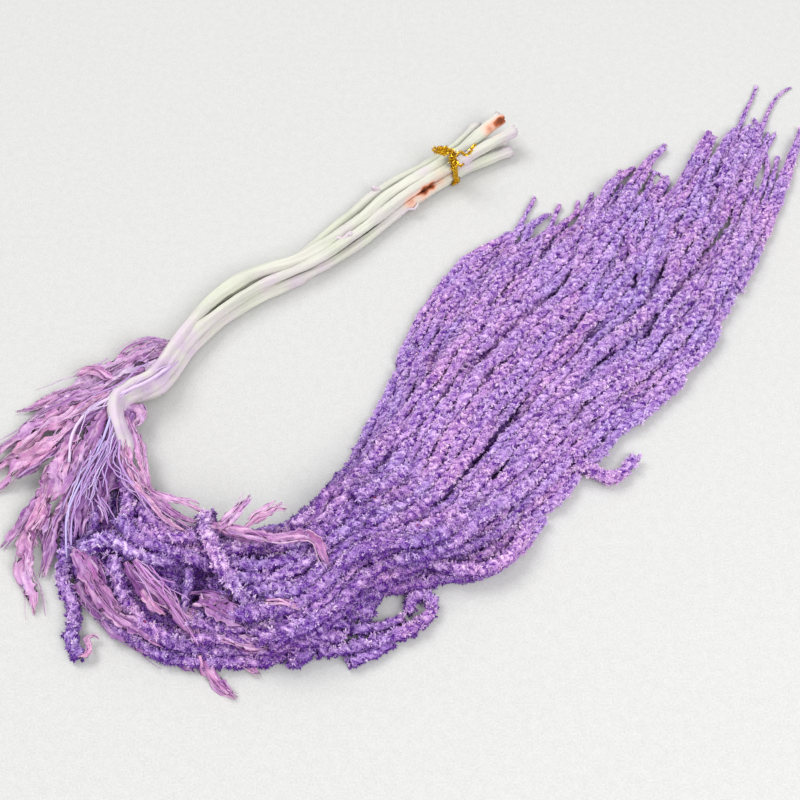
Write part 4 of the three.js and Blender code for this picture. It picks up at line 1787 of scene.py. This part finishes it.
        # The sunken pith is painted fully grey, which is painted shade in the hollow, with some dye and a
        # stain
        look[0] = (0.4, 0.45, 0.5, 1.0)
        ends = np.array([(0.4, 0.5, 0.5, 1.0), (0.5, 0.0, 0.3, 0.3)])
        shell = Shell()
        shell.add(points, faces, np.vstack([look.reshape(-1, 4), ends]), True)
        for shoot in (shoot for shoot in SHOOTS if shoot.name == stem.node):
            # Anchored is how firmly it keeps its place on the floor, and glow how much paler than its place
            # it is painted: a random tone, and on traced strands that lie on top, less painted shade about
            # the bend.
            curl = PHOTOGRAPH.route(shoot.points).even(1.0)
            tube = tapered_tube(curl, shoot.start, shoot.end, self.shoot_sides, self.shoot_unevenness, rng)
            shell.add(*tube, np.array([shoot.shade, 0, 0, 0.3]), True)
        seat(shell.to_object("ridged_" + stem.node, material), "stem", stem.node)

    def build(self) -> None:
        """Builds all five."""
        rng = np.random.default_rng(self.seed)
        material = StemFinish().material()
        for stem in STEMS:
            self.dress(stem, material, rng)


# Leaves and stalks


@dataclass(frozen=True)
class Blade:
    """A leaf's widest blade, traced as a strand is: its width in mm, how pink it is, and how much painted
    shade darkens it, and below 0 how bleached it is.
    """

    width: float
    tint: float
    points: tuple
    shade: float = 0.0


# The blades of each node's leaves; a blade's shade darkens it with painted shade
TRACED_LEAVES = {
    # The brush of leaves at the left of the bend
    "leaf_outer_1": (
        Blade(12, 0.1, ((176, 348, 7), (156, 354, 8), (134, 364, 9), (112, 378, 8)), -0.2),
        Blade(10, 0.0, ((164, 362, 6), (142, 372, 7), (120, 384, 8), (98, 398, 7)), -0.1),
        Blade(8, 0.2, (
            (170, 344, 10), (150, 346, 11), (128, 354, 10), (106, 367, 9), (84, 381, 6), (60, 392, 4),
            (44, 399, 2.5)), -0.3),
        Blade(8, 0.4, (
            (166, 352, 9), (140, 354, 9), (114, 366, 8), (92, 382, 6), (70, 394, 4), (40, 404, 3),
            (21, 410, 1.5))),
        Blade(5, 0.6, ((128, 378, 11), (112, 378, 12), (98, 371, 12), (86, 370, 11), (78, 375, 10))),
        Blade(2.5, 0.3, ((166, 341, 11), (150, 339, 12), (134, 344, 12), (120, 354, 10)), 0.3),
        Blade(7, 0.1, ((168, 362, 12), (146, 368, 12), (124, 378, 12), (102, 392, 10), (80, 402, 8)), -0.6),
    ),
    "leaf_outer_2": (
        Blade(8, 0.2, (
            (146, 372, 13), (116, 386, 13), (90, 396, 12), (66, 404, 10), (46, 414, 7), (22, 434, 4),
            (0, 449, 2)), 0.2),
        Blade(7, 0.5, (
            (124, 388, 14), (96, 400, 13), (70, 410, 11), (42, 424, 8), (18, 438, 5), (-6, 458, 2))),
        Blade(6, 0.3, ((110, 380, 9), (86, 388, 8), (62, 398, 6), (44, 408, 4)), 0.3),
    ),
    "leaf_outer_3": (
        Blade(8, 0.9, (
            (112, 394, 15), (86, 406, 14), (64, 420, 12), (44, 430, 9), (26, 446, 6), (6, 462, 2.5),
            (-8, 472, 2))),
        Blade(6, 0.6, ((80, 418, 13), (62, 434, 11), (42, 450, 8), (22, 460, 4), (4, 464, 2))),
        Blade(5, 0.2, ((100, 410, 15), (84, 424, 15), (70, 440, 14), (58, 452, 12)), 0.6),
    ),
    "leaf_outer_4": (
        Blade(8, 0.7, (
            (76, 424, 15), (58, 438, 14), (38, 450, 11), (22, 464, 7), (8, 478, 4), (-4, 490, 2))),
        Blade(5, 0.1, ((74, 432, 14), (56, 450, 12), (38, 464, 8), (20, 477, 4)), 0.4),
    ),
    "leaf_outer_5": (
        Blade(9, 0.6, (
            (78, 436, 16), (62, 454, 15), (50, 476, 12), (44, 496, 9), (38, 516, 7), (27, 536, 5),
            (24, 556, 4), (25, 578, 3), (33, 596, 2), (35, 614, 1.5))),
        Blade(7, 0.3, (
            (66, 452, 14), (52, 478, 11), (40, 500, 8), (24, 520, 5), (11, 537, 3), (4, 546, 1.5)), 0.4),
        Blade(7, 0.95, ((50, 486, 11), (44, 506, 9), (38, 520, 7), (30, 532, 5), (34, 542, 4))),
    ),
    "leaf_outer_6": (
        Blade(12, 0.5, ((76, 436, 15), (66, 450, 15), (61, 468, 14), (58, 486, 13), (50, 498, 11))),
        Blade(8, 0.2, ((90, 427, 15), (80, 450, 15), (74, 470, 14), (68, 488, 13)), 0.3),
        Blade(8, 0.5, ((112, 404, 14), (98, 424, 15), (90, 446, 15), (84, 468, 14)), 0.5),
        # Shreds under the stalks, darkened with painted shade
        Blade(12, 0.2, (
            (124, 402, 10), (112, 420, 11), (102, 442, 11), (95, 464, 11), (88, 488, 11), (82, 512, 11),
            (80, 534, 11)), 0.5),
        Blade(11, 0.3, (
            (130, 410, 10), (122, 430, 11), (116, 452, 11), (110, 474, 11), (104, 498, 11),
            (100, 520, 11)), 0.6),
    ),
    "leaf_outer_7": (
        Blade(6, 0.4, ((70, 486, 12), (62, 508, 9), (56, 528, 6), (50, 550, 4), (44, 575, 1.5)), 0.3),
        Blade(5, 0.3, ((64, 500, 10), (54, 514, 7), (46, 530, 4), (43, 545, 2)), 0.4),
        # A shred under the stalks, darkened with painted shade
        Blade(10, 0.3, (
            (108, 412, 10), (94, 432, 10), (84, 456, 10), (76, 482, 9), (70, 508, 8), (66, 532, 7)), 0.4),
    ),
    # Between the stems and the collar
    "leaf_inner_1": (
        Blade(6, 0.4, ((127, 402, 11), (137, 406, 10), (142, 413, 9), (138, 421, 8), (130, 423, 9)), -0.1),
        Blade(5, 0.6, ((130, 424, 11), (135, 434, 11), (140, 446, 11), (142, 456, 11)), 0.1),
        Blade(4, 0.6, (
            (126, 416, 13), (134, 436, 13), (139, 456, 13), (144, 474, 14), (150, 490, 15), (164, 497, 15),
            (186, 503, 14), (206, 514, 13))),
        Blade(2, 0.9, (
            (128, 468, 18), (136, 484, 20), (150, 500, 20), (162, 516, 20), (174, 525, 19), (186, 531, 18))),
        Blade(5, 0.6, ((124, 430, 15), (122, 448, 17), (127, 464, 17), (136, 478, 17), (144, 492, 16)), 0.2),
        Blade(4.5, 0.5, ((150, 496, 16), (166, 508, 17), (182, 518, 17), (196, 522, 15)), 0.2),
    ),
    # On top of the collar
    "leaf_top_1": (
        Blade(6, 0.6, (
            (212, 524, 24), (232, 530, 27), (256, 534, 28), (282, 538, 27), (308, 536, 27), (318, 541, 27),
            (323, 552, 26), (328, 563, 24)), 0.3),
        Blade(6, 0.5, ((218, 528, 26), (228, 520, 28), (238, 510, 29), (247, 499, 30)), 0.1),
        Blade(4, 0.7, ((244, 530, 27), (256, 518, 27), (268, 513, 28), (276, 508, 29), (284, 509, 29))),
        Blade(4, 0.5, ((222, 532, 25), (246, 538, 25), (274, 541, 25)), 0.6),
    ),
    "leaf_top_2": (
        Blade(3, 0.7, ((266, 600, 22), (282, 601, 22), (298, 608, 20))),
    ),
    "leaf_top_3": (
        Blade(5, 0.5, (
            (134, 560, 19), (146, 574, 19), (158, 592, 17), (174, 610, 14), (190, 630, 12),
            (198, 645, 11)), 0.4),
        Blade(4, 0.8, ((142, 590, 18), (152, 604, 17), (162, 612, 15)), 0.1),
        Blade(5, 0.3, ((126, 562, 16), (138, 580, 16), (150, 596, 14), (160, 612, 12)), 0.8),
        Blade(9, 0.4, ((198, 601, 19), (212, 607, 21), (226, 614, 21), (242, 623, 18)), 0.65),
        Blade(5, 0.3, ((200, 596, 19), (216, 600, 21), (232, 608, 21), (246, 614, 19)), 0.8),
        Blade(6, 0.5, (
            (188, 612, 11), (202, 622, 12), (220, 632, 12), (240, 641, 11), (262, 645, 10),
            (292, 646, 8)), 0.2),
        Blade(6, 0.2, ((190, 594, 13), (212, 593, 15), (236, 598, 15)), 0.9),
    ),
    "leaf_top_4": (
        Blade(7, 0.5, (
            (74, 552, 18), (84, 574, 18), (98, 597, 16), (114, 614, 13), (136, 628, 11),
            (160, 643, 9)), 0.5),
        Blade(5, 0.6, ((84, 552, 19), (94, 572, 18), (106, 594, 16), (120, 610, 13)), 0.7),
        Blade(6, 0.2, ((92, 556, 17), (98, 572, 16), (102, 590, 14), (112, 606, 12)), 0.9),
    ),
    # Along its outer edge
    "leaf_edge_1": (
        Blade(7, 0.2, ((76, 584, 7), (94, 608, 6), (114, 626, 5), (138, 642, 4), (164, 658, 3)), 0.6),
    ),
    "leaf_edge_2": (
        Blade(7, 0.7, ((203, 654, 6), (208, 668, 4), (216, 682, 2.5), (224, 690, 2), (234, 697, 1.5)), 0.2),
        Blade(4, 0.9, ((236, 658, 5), (246, 664, 3.5), (258, 672, 2)), 0.3),
        Blade(4, 0.3, ((176, 656, 5), (184, 664, 3), (192, 670, 2)), 0.6),
    ),
    # At the end of the hanging strand
    "leaf_curl": (
        Blade(2.4, 0.8, (
            (78, 656, 4), (88, 655, 4), (90, 646, 4), (86, 640, 4.5), (92, 635, 4), (98, 638, 3))),
    ),
}


@dataclass
class Leaves:
    """Shredded dried leaves: thin pleated blades, torn strips beside them and loose fibres.

    Lengths are in mm. A wander is given by its size and its longest wavelength.
    """

    thickness: float = 0.22
    columns: int = 9
    strip_columns: int = 5
    step: float = 1.8
    strips: int = 2
    fibres: int = 3
    fibre_step: float = 3.6
    pleat_height: float = 0.45
    ragged: float = 3.5
    stray: float = 2.4
    stray_lift: float = 1.2
    stray_sway: float = 1.4
    uneven: tuple = (0.25, 15)
    twist: tuple = (0.9, 40)
    fold: tuple = (0.5, 30)
    blush: tuple = (0.3, 40)
    gloom: tuple = (0.25, 20)
    fray: tuple = (0.6, 25)
    change: float = 0.3
    few_points: int = 8
    fewest_fibres: int = 2
    fibre_radius: tuple = (0.16, 0.4)
    fibre_shape: tuple = (1.5, 0.7, 0.7)
    seed: int = 21

    def crumple(self, rows: int, columns: int, coarse: int, rng: Chance) -> Array:
        """Draws a random height field over a blade's grid, smooth along it.

        Args:
            rows: the grid's rows.
            columns: the grid's columns.
            coarse: how many rows lie between two drawn values.
            rng: the source of chance.

        Returns:
            One value a point, between -1 and 1.
        """
        drawn = rng.uniform(-1, 1, (rows // coarse + 2, columns))
        at = np.arange(rows) / coarse
        return np.stack([np.interp(at, np.arange(len(drawn)), drawn[:, i]) for i in range(columns)], axis=1)

    def blade(self, line: Array, columns: int, width: float, tint: float, shade: float,
              rng: Chance) -> tuple[Array, Array, Array]:
        """Bends a grid into one blade, pleated lengthwise.

        Args:
            line: its middle line.
            columns: how many points lie across it.
            width: its greatest width, in mm.
            tint: how pink it is.
            shade: how much painted shade darkens it, and below 0 how bleached it is.
            rng: the source of chance.

        Returns:
            Its points, its faces and the look of each point.
        """
        run = run_length(line)
        along = run / run[-1]
        side, up = carried_frame(line)
        share = np.linspace(-1, 1, columns)
        half = width / 2 * (0.5 + 0.5 * np.sin(math.pi * (0.1 + 0.7 * along)))
        half = half * (1 + wander(rng, run, *self.uneven)) * (1 - 0.6 * smoothstep(0.82, 1.0, along))
        turn = wander(rng, run, *self.twist)
        fold = wander(rng, run, *self.fold) + rng.uniform(-0.5, 0.3)
        grid = (len(line), columns)
        pleats = 0.3 * rng.uniform(-1, 1, columns)[None] + 0.8 * self.crumple(*grid, 5, rng)
        crush = 0.7 * self.crumple(*grid, 3, rng) + 0.35 * self.crumple(*grid, 1, rng)
        tears = np.clip(self.crumple(*grid, 1, rng), 0, 1) * (np.abs(share) > 0.9)
        x = half[:, None] * share * (1 - 0.75 * tears) + 0.2 * self.crumple(*grid, 2, rng)
        z = half[:, None] * fold[:, None] * np.abs(share) + self.pleat_height * pleats
        z = z + (0.25 + 0.2 * half)[:, None] * crush
        cos, sin = np.cos(turn)[:, None], np.sin(turn)[:, None]
        across, lift = x * cos - z * sin, x * sin + z * cos
        points = line[:, None] + across[..., None] * side[:, None] + lift[..., None] * up[:, None]
        ragged = min(self.ragged, 0.5 * width)
        reach = rng.uniform(-1, 1, columns)[None] * smoothstep(0.8, 1.0, along)[:, None] * ragged
        points = points + (reach + 0.35 * crush)[..., None] * headings(line)[:, None]
        points[..., 2] = np.maximum(points[..., 2], self.thickness / 2 + 0.05)
        first = np.arange(len(line) - 1)[:, None] * columns + np.arange(columns - 1)[None]
        faces = np.stack([first, first + 1, first + columns + 1, first + columns], -1).reshape(-1, 4)
        look = np.empty((len(line), columns, 4))
        # Raised pleats, crushed bumps and torn edges are painted pale: mostly a painted highlight
        look[..., 0] = np.clip(0.22 + 0.4 * pleats + 0.4 * crush + 0.25 * tears, 0, 1)
        look[..., 1] = max(0.0, -shade)
        look[..., 2] = np.clip(tint + wander(rng, run, *self.blush), 0, 1)[:, None]
        # Painted shade: the blade's own shade, deeper in low pleats and crushes, with a random gloom along
        # it
        gloom = shade - 0.4 * pleats - 0.35 * crush + wander(rng, run, *self.gloom)[:, None]
        look[..., 3] = np.clip(0.15 + gloom, 0, 1)
        return points.reshape(-1, 3), faces, look.reshape(-1, 4)

    def layered(self, traced: Blade, line: Array, rng: Chance) -> list[tuple]:
        """Makes the blades of one traced leaf: the traced one, and narrower torn ones beside it.

        Args:
            traced: the leaf.
            line: its middle line.
            rng: the source of chance.

        Returns:
            For each blade its points, faces and look.
        """
        blades = [self.blade(line, self.columns, traced.width, traced.tint, traced.shade, rng)]
        if len(line) <= self.few_points:
            return blades
        for _ in range(self.strips):
            first = int(rng.uniform(0, 0.35) * len(line))
            last = int(rng.uniform(0.75, 1.0) * len(line))
            bent = sway(rng, run_length(line), (1.0, 1.0, 0.6), (50, 50, 40))
            away = rng.uniform(-1, 1, 3) * (self.stray, self.stray, self.stray_lift)
            torn = (line + away + self.stray_sway * bent)[first:last]
            tint = float(np.clip(traced.tint + rng.uniform(-self.change, self.change), 0, 1))
            shade = traced.shade + rng.uniform(-self.change, self.change)
            width = traced.width * rng.uniform(0.3, 0.6)
            blades.append(self.blade(torn, self.strip_columns, width, tint, shade, rng))
        return blades

    def fibre(self, line: Array, traced: Blade, rng: Chance) -> tuple:
        """Makes one fibre that frays away from a leaf and ends past its tip.

        Args:
            line: the leaf's middle line, in even steps.
            traced: the leaf.
            rng: the source of chance.

        Returns:
            Its points, its triangles and the look of all its points.
        """
        past = line[-1] + headings(line)[-1] * rng.uniform(0.5, 3)
        part = resample(np.vstack([line[int(rng.uniform(0, 0.6) * len(line)):], past]), self.fibre_step)
        run = run_length(part)
        along = run / run[-1]
        side, up = carried_frame(part)
        away = rng.uniform(-0.6, 0.6) * traced.width * (0.7 + rng.uniform(0, 0.8) * along)
        away = away + wander(rng, run, *self.fray)
        lift = 0.4 + rng.uniform(-0.4, 1.4) * along
        part = part + side * away[:, None] + up * lift[:, None]
        radius = rng.uniform(*self.fibre_radius) * (1 - 0.7 * along ** 2)
        reach = radius[:, None] * np.array(self.fibre_shape)
        points, faces = close_tube(rings_round(part, reach), part[0], part[-1])
        shade = float(np.clip(traced.shade + rng.uniform(-self.change, self.change), 0, 1))
        light = rng.uniform(0, 0.9)
        tint = float(np.clip(traced.tint + rng.uniform(-self.change, self.change), 0, 1))
        return points, faces, np.array([light, max(0.0, -traced.shade), tint, shade])

    def thicken(self, piece: bpy.types.Object) -> None:
        """Gives thin blades their thickness."""
        deselect_all()
        piece.select_set(True)
        bpy.context.view_layer.objects.active = piece
        wall = piece.modifiers.new("wall", "SOLIDIFY")
        wall.thickness = self.thickness * MM
        wall.offset = 0.0
        bpy.ops.object.modifier_apply(modifier=wall.name)

    def build(self) -> None:
        """Builds one piece for each node of leaves, and the curl at the end of the hanging strand."""
        rng = np.random.default_rng(self.seed)
        material = LeafFinish().material()
        for name, leaves in TRACED_LEAVES.items():
            sheets, threads = Shell(), Shell()
            for traced in leaves:
                line = PHOTOGRAPH.route(traced.points).even(self.step)
                for blade in self.layered(traced, line, rng):
                    sheets.add(*blade, True)
                for _ in range(self.fibres if len(line) > self.few_points else self.fewest_fibres):
                    threads.add(*self.fibre(line, traced, rng), True)
            piece = sheets.to_object("crumpled_" + name, material)
            self.thicken(piece)
            frayed = threads.to_object("fibres_" + name, material)
            frayed.select_set(True)
            bpy.ops.object.join()
            seat(piece, "leaf", *([name] if name != "leaf_curl" else []))


TRACED_STALKS = (
    Traced("stalk_1", 1.0, 0.8, 0.1, (
        (170, 366, 15), (150, 380, 17), (124, 392, 18), (100, 403, 18), (82, 418, 18), (72, 436, 18),
        (69, 462, 16))),
    Traced("stalk_1", 0.7, 0.5, 0.9, (
        (112, 412, 18), (104, 436, 19), (95, 456, 19), (84, 476, 18), (74, 496, 17), (67, 516, 15),
        (66, 540, 13), (67, 558, 11))),
    Traced("stalk_1", 0.5, 0.4, 0.8, (
        (116, 416, 18), (108, 440, 19), (99, 460, 19), (88, 480, 18), (78, 500, 17), (72, 520, 15),
        (71, 545, 14))),
    Traced("stalk_2", 0.5, 0.4, 0.5, (
        (118, 436, 17), (110, 455, 18), (102, 468, 18), (106, 482, 17), (108, 497, 15))),
    Traced("stalk_2", 0.6, 0.5, 0.3, (
        (120, 440, 18), (119, 458, 19), (123, 470, 19), (134, 486, 20), (148, 502, 20), (160, 516, 20),
        (172, 526, 19))),
    Traced("stalk_2", 0.5, 0.4, 0.2, ((96, 470, 18), (94, 486, 17), (90, 501, 15))),
    Traced("stalk_2", 0.5, 0.4, 0.4, ((97, 494, 15), (103, 508, 15), (108, 524, 14))),
    Traced("stalk_2", 0.6, 0.4, 0.1, (
        (138, 562, 19), (152, 582, 20), (170, 604, 18), (188, 628, 14), (198, 644, 12)), 0.4),
    Traced("stalk_2", 0.5, 0.4, 0.2, ((140, 564, 19), (156, 580, 20), (168, 592, 19), (178, 600, 18)), 0.3),
    Traced("stalk_2", 0.5, 0.4, 0.2, ((84, 552, 17), (90, 568, 18), (100, 586, 17), (108, 600, 15)), 0.8),
)


@dataclass
class Stalks:
    """Fine pale stalks that run from the stems' bend down into the tassels.

    Bend and kink are wanders: three sizes, along x, y and z, and three longest wavelengths.
    """

    copies: int = 6
    spread: float = 4.5
    spread_lift: float = 1.5
    sides: int = 5
    unevenness: float = 0.15
    step: float = 2.4
    bend: tuple = ((3.0, 3.0, 0.8), (60, 60, 60))
    kink: tuple = ((0.5, 0.5, 0.5), (16, 16, 16))
    thick: float = 0.65
    radius: tuple = (0.16, 0.4)
    taper: float = 0.8
    seed: int = 31

    def thread(self, line: Array, start: float, end: float, tint: float, shade: float,
               rng: Chance) -> tuple[Array, Array, Array]:
        """Makes one stalk.

        Args:
            line: its middle line.
            start: its radius at the start.
            end: its radius at the end.
            tint: how blue it is.
            shade: how strongly it is dyed.
            rng: the source of chance.

        Returns:
            Its points, its triangles and the look of all its points.
        """
        points, faces = tapered_tube(line, start, end, self.sides, self.unevenness, rng)
        dye = 0.25 if start > self.thick else min(1.0, shade + rng.uniform(0.2, 1.3))
        return points, faces, np.array([tint, rng.random(), dye, shade])

    def build(self) -> None:
        """Builds the two pieces."""
        rng = np.random.default_rng(self.seed)
        material = ThreadFinish().material()
        for name in ("stalk_1", "stalk_2"):
            shell = Shell()
            for traced in (t for t in TRACED_STALKS if t.name == name):
                line = PHOTOGRAPH.route(traced.points).even(self.step)
                stalk = self.thread(line, traced.start, traced.end, traced.tint, traced.shade, rng)
                shell.add(*stalk, True)
                for _ in range(self.copies):
                    run = run_length(line)
                    bend = sway(rng, run, *self.bend)
                    shift = rng.uniform(-1, 1, 3) * (self.spread, self.spread, self.spread_lift)
                    strewn = line + shift + bend + sway(rng, run, *self.kink)
                    first = int(rng.uniform(0, 0.45) * len(line))
                    last = int(rng.uniform(0.6, 1) * len(line))
                    strewn = strewn[first:last] if last - first > 4 else strewn
                    thin = rng.uniform(*self.radius)
                    tint = rng.uniform(0, 1) * (1 - traced.shade)
                    stalk = self.thread(strewn, thin, thin * self.taper, tint, traced.shade, rng)
                    shell.add(*stalk, True)
            seat(shell.to_object("fine_" + name, material), "stalk", name)


# Twist tie


@dataclass
class TwistTie:
    """The gold tinsel tie: a band round the stems, its knot, a long tail, a flat lobe and a stub."""

    wire: float = 0.45
    sliver: float = 1.5
    margin: float = 0.7
    half_width: float = 1.9
    skew: float = 0.42
    wire_sides: int = 6
    loop_points: int = 64
    turns: tuple = (-1.2, -0.4, 0.4, 1.2)
    # Slivers: how many, and how far they stray
    band_rows: int = 7
    band_slivers: tuple = (130, 0.25)
    slivers_a_point: int = 9
    tail_stray: float = 0.35
    knot_slivers: tuple = (420, 1.0)
    knot: tuple = ((453, 153, 18), (453, 163, 17))
    tail_step: float = 0.8
    seed: int = 41
    tails: tuple = (
        ((450, 151, 19.5), (444, 150, 20), (437, 150.5, 19.6)),
        ((449, 153.5, 19), (442, 152, 19.6), (436, 151.5, 19.4)),
        ((448, 149.5, 19.8), (442, 148.6, 20), (437, 149, 19.8)),
        ((453, 153, 19), (446, 148, 20), (438, 147.5, 20), (433, 150, 19.5), (438, 153, 19), (447, 155, 19)),
        ((455, 158, 19), (460, 152, 20), (466, 155, 20), (470, 152, 20), (473, 147, 19), (476, 144, 18)),
        ((456, 160, 18), (460, 166, 18), (464, 164, 18)),
    )

    def heading(self) -> Array:
        """Returns the stems' heading on the floor where the tie goes round them."""
        route = Route(STEM_ROUTE)
        return unit(route.at(TIE_STATION + 0.01)[0] - route.at(TIE_STATION - 0.01)[0])

    def band(self) -> Array:
        """Draws the loop round the stems.

        Returns:
            The loop's points.
        """
        middle = Route(STEM_ROUTE).at(TIE_STATION)[0]
        ahead = self.heading()
        right = np.array([ahead[1], -ahead[0]])
        spots = [Stems().place(stem, np.array([TIE_STATION]))[0] for stem in STEMS]
        loop = []
        for angle in np.arange(self.loop_points) * TURN / self.loop_points:
            toward = np.array([math.cos(angle), math.sin(angle)])
            furthest = max(spots, key=lambda spot: float(spot @ toward))
            x, z = furthest + toward * (Stems().radius + self.margin)
            loop.append((*(middle + right * x - ahead * self.skew * x), z))
        return np.array(loop)

    def lay_wire(self, shell: Shell, line: Array, light: float) -> None:
        """Lays the wire that the tinsel is wound on.

        Args:
            shell: the piece in the making.
            line: the wire's middle line.
            light: how deep its gold is.
        """
        rings = rings_round(line, np.full((len(line), self.wire_sides), self.wire))
        shell.add(*close_tube(rings, line[0], line[-1]), np.array([light, 0, 0, 0]), True)

    def slivers(self, shell: Shell, line: Array, count: int, width: float, rng: Chance,
                out_from: Array | None = None) -> None:
        """Covers a line in thin glittering slivers.

        Args:
            shell: the piece in the making.
            line: the line.
            count: how many slivers.
            width: how far they stray from the line.
            rng: the source of chance.
            out_from: a point that they point away from, or None for all ways.
        """
        at = rng.uniform(0, len(line) - 1.001, count)
        first = at.astype(int)
        spot = line[first] + (line[first + 1] - line[first]) * (at - first)[:, None]
        spot = spot + rng.normal(0, width, (count, 3))
        toward = rng.normal(0, 1, (count, 3))
        if out_from is not None:
            toward = toward * 0.8 + unit(spot - out_from)
        toward = unit(toward)
        across = unit(np.cross(toward, rng.normal(0, 1, (count, 3))))
        thin = np.cross(toward, across)
        size = self.sliver * rng.uniform(0.6, 1.2, (count, 1))
        corners = [spot - across * 0.34 - thin * 0.08, spot + across * 0.34 - thin * 0.08,
                   spot + thin * 0.1, spot + toward * size]
        points = np.stack(corners, axis=1)
        faces = np.array([(0, 2, 1), (0, 1, 3), (1, 2, 3), (2, 0, 3)])
        numbers = faces[None] + (np.arange(count) * 4)[:, None, None]
        look = np.zeros((count, 4, 4))
        look[..., 0] = rng.beta(1.0, 1.8, count)[:, None]
        shell.add(points.reshape(-1, 3), numbers.reshape(-1, 3), look.reshape(-1, 4), False)

    def build(self) -> None:
        """Builds the tie."""
        rng = np.random.default_rng(self.seed)
        shell = Shell()
        loop = self.band()
        middle = loop.mean(axis=0)
        along = np.array([*self.heading(), 0.0])
        for shift in self.turns:
            self.lay_wire(shell, np.vstack([loop, loop[:2]]) + along * shift, 0.3)
        for shift in np.linspace(-self.half_width, self.half_width, self.band_rows):
            self.slivers(shell, loop + along * shift, *self.band_slivers, rng, middle)
        for traced in self.tails:
            line = PHOTOGRAPH.route(traced).even(self.tail_step)
            self.lay_wire(shell, line, 0.5)
            self.slivers(shell, line, self.slivers_a_point * len(line), self.tail_stray, rng)
        knot = np.array([PHOTOGRAPH.spot(*spot) for spot in self.knot])
        self.slivers(shell, knot, *self.knot_slivers, rng)
        seat(shell.to_object("tinsel_twist_tie", TinselFinish().material()), "tie", "twist_tie")


# Studio


@dataclass(frozen=True)
class Studio:
    """The pale floor, the soft light and the camera at the photograph's angle."""

    floor_size: float = 6.0
    room_light: float = 0.72
    window_power: float = 172.0
    window_size: float = 2.6
    window_place: tuple = (-2.6, 2.4, 4.0)
    fill_power: float = 30.0
    fill_size: float = 1.2
    fill_place: tuple = (0.9, -1.2, 1.5)

    def camera(self) -> None:
        """Sets the camera, which looks at the tables' origin."""
        data = bpy.data.cameras.new("camera")
        data.sensor_fit = "HORIZONTAL"
        data.sensor_width = 36.0
        data.angle = math.radians(PHOTOGRAPH.view)
        data.clip_start = 0.01
        camera = bpy.data.objects.new("camera", data)
        bpy.context.scene.collection.objects.link(camera)
        camera.location = to_frame(PHOTOGRAPH.eye())
        camera.rotation_euler = (math.radians(90.0 - PHOTOGRAPH.rise), 0.0, 0.0)
        bpy.context.scene.camera = camera

    def floor(self) -> None:
        """Lays the pale cloth."""
        deselect_all()
        bpy.ops.mesh.primitive_plane_add(size=self.floor_size)
        floor = bpy.context.active_object
        floor.name = "floor_cloth"
        floor.data.materials.append(ClothFinish().material())

    def lights(self) -> None:
        """Hangs a broad soft light at the back left, and fills the rest from all round."""
        world = bpy.data.worlds.new("soft_room")
        bpy.context.scene.world = world
        world.use_nodes = True
        world.node_tree.nodes["Background"].inputs["Color"].default_value = (1.0, 1.0, 1.0, 1.0)
        world.node_tree.nodes["Background"].inputs["Strength"].default_value = self.room_light
        self.lamp("window", self.window_place, self.window_size, self.window_power)
        self.lamp("fill", self.fill_place, self.fill_size, self.fill_power)

    def lamp(self, name: str, place: tuple, size: float, power: float) -> None:
        """Hangs one square light that faces the object.

        Args:
            name: what to call it.
            place: where, in metres.
            size: its side, in metres.
            power: its power, in watts.
        """
        data = bpy.data.lights.new(name, "AREA")
        data.size = size
        data.energy = power
        light = bpy.data.objects.new(name, data)
        bpy.context.scene.collection.objects.link(light)
        light.location = place
        light.rotation_euler = (-Vector(place)).to_track_quat("-Z", "Y").to_euler()

    def build(self) -> None:
        """Sets the whole studio."""
        self.camera()
        self.floor()
        self.lights()
        bpy.context.scene.view_settings.view_transform = "Standard"


def main() -> None:
    """Builds the bunch, from the studio to the tie."""
    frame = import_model()
    slots = {part["node"]: part["material_slot"] for part in frame["record"]["subparts"]}
    Studio().build()
    tassels = Tassels(Flow(), slots)
    tassels.lay()
    tassels.dress(GrainFinish().material())
    Stems().build()
    Leaves().build()
    Stalks().build()
    TwistTie().build()


if __name__ == "__main__":
    main()
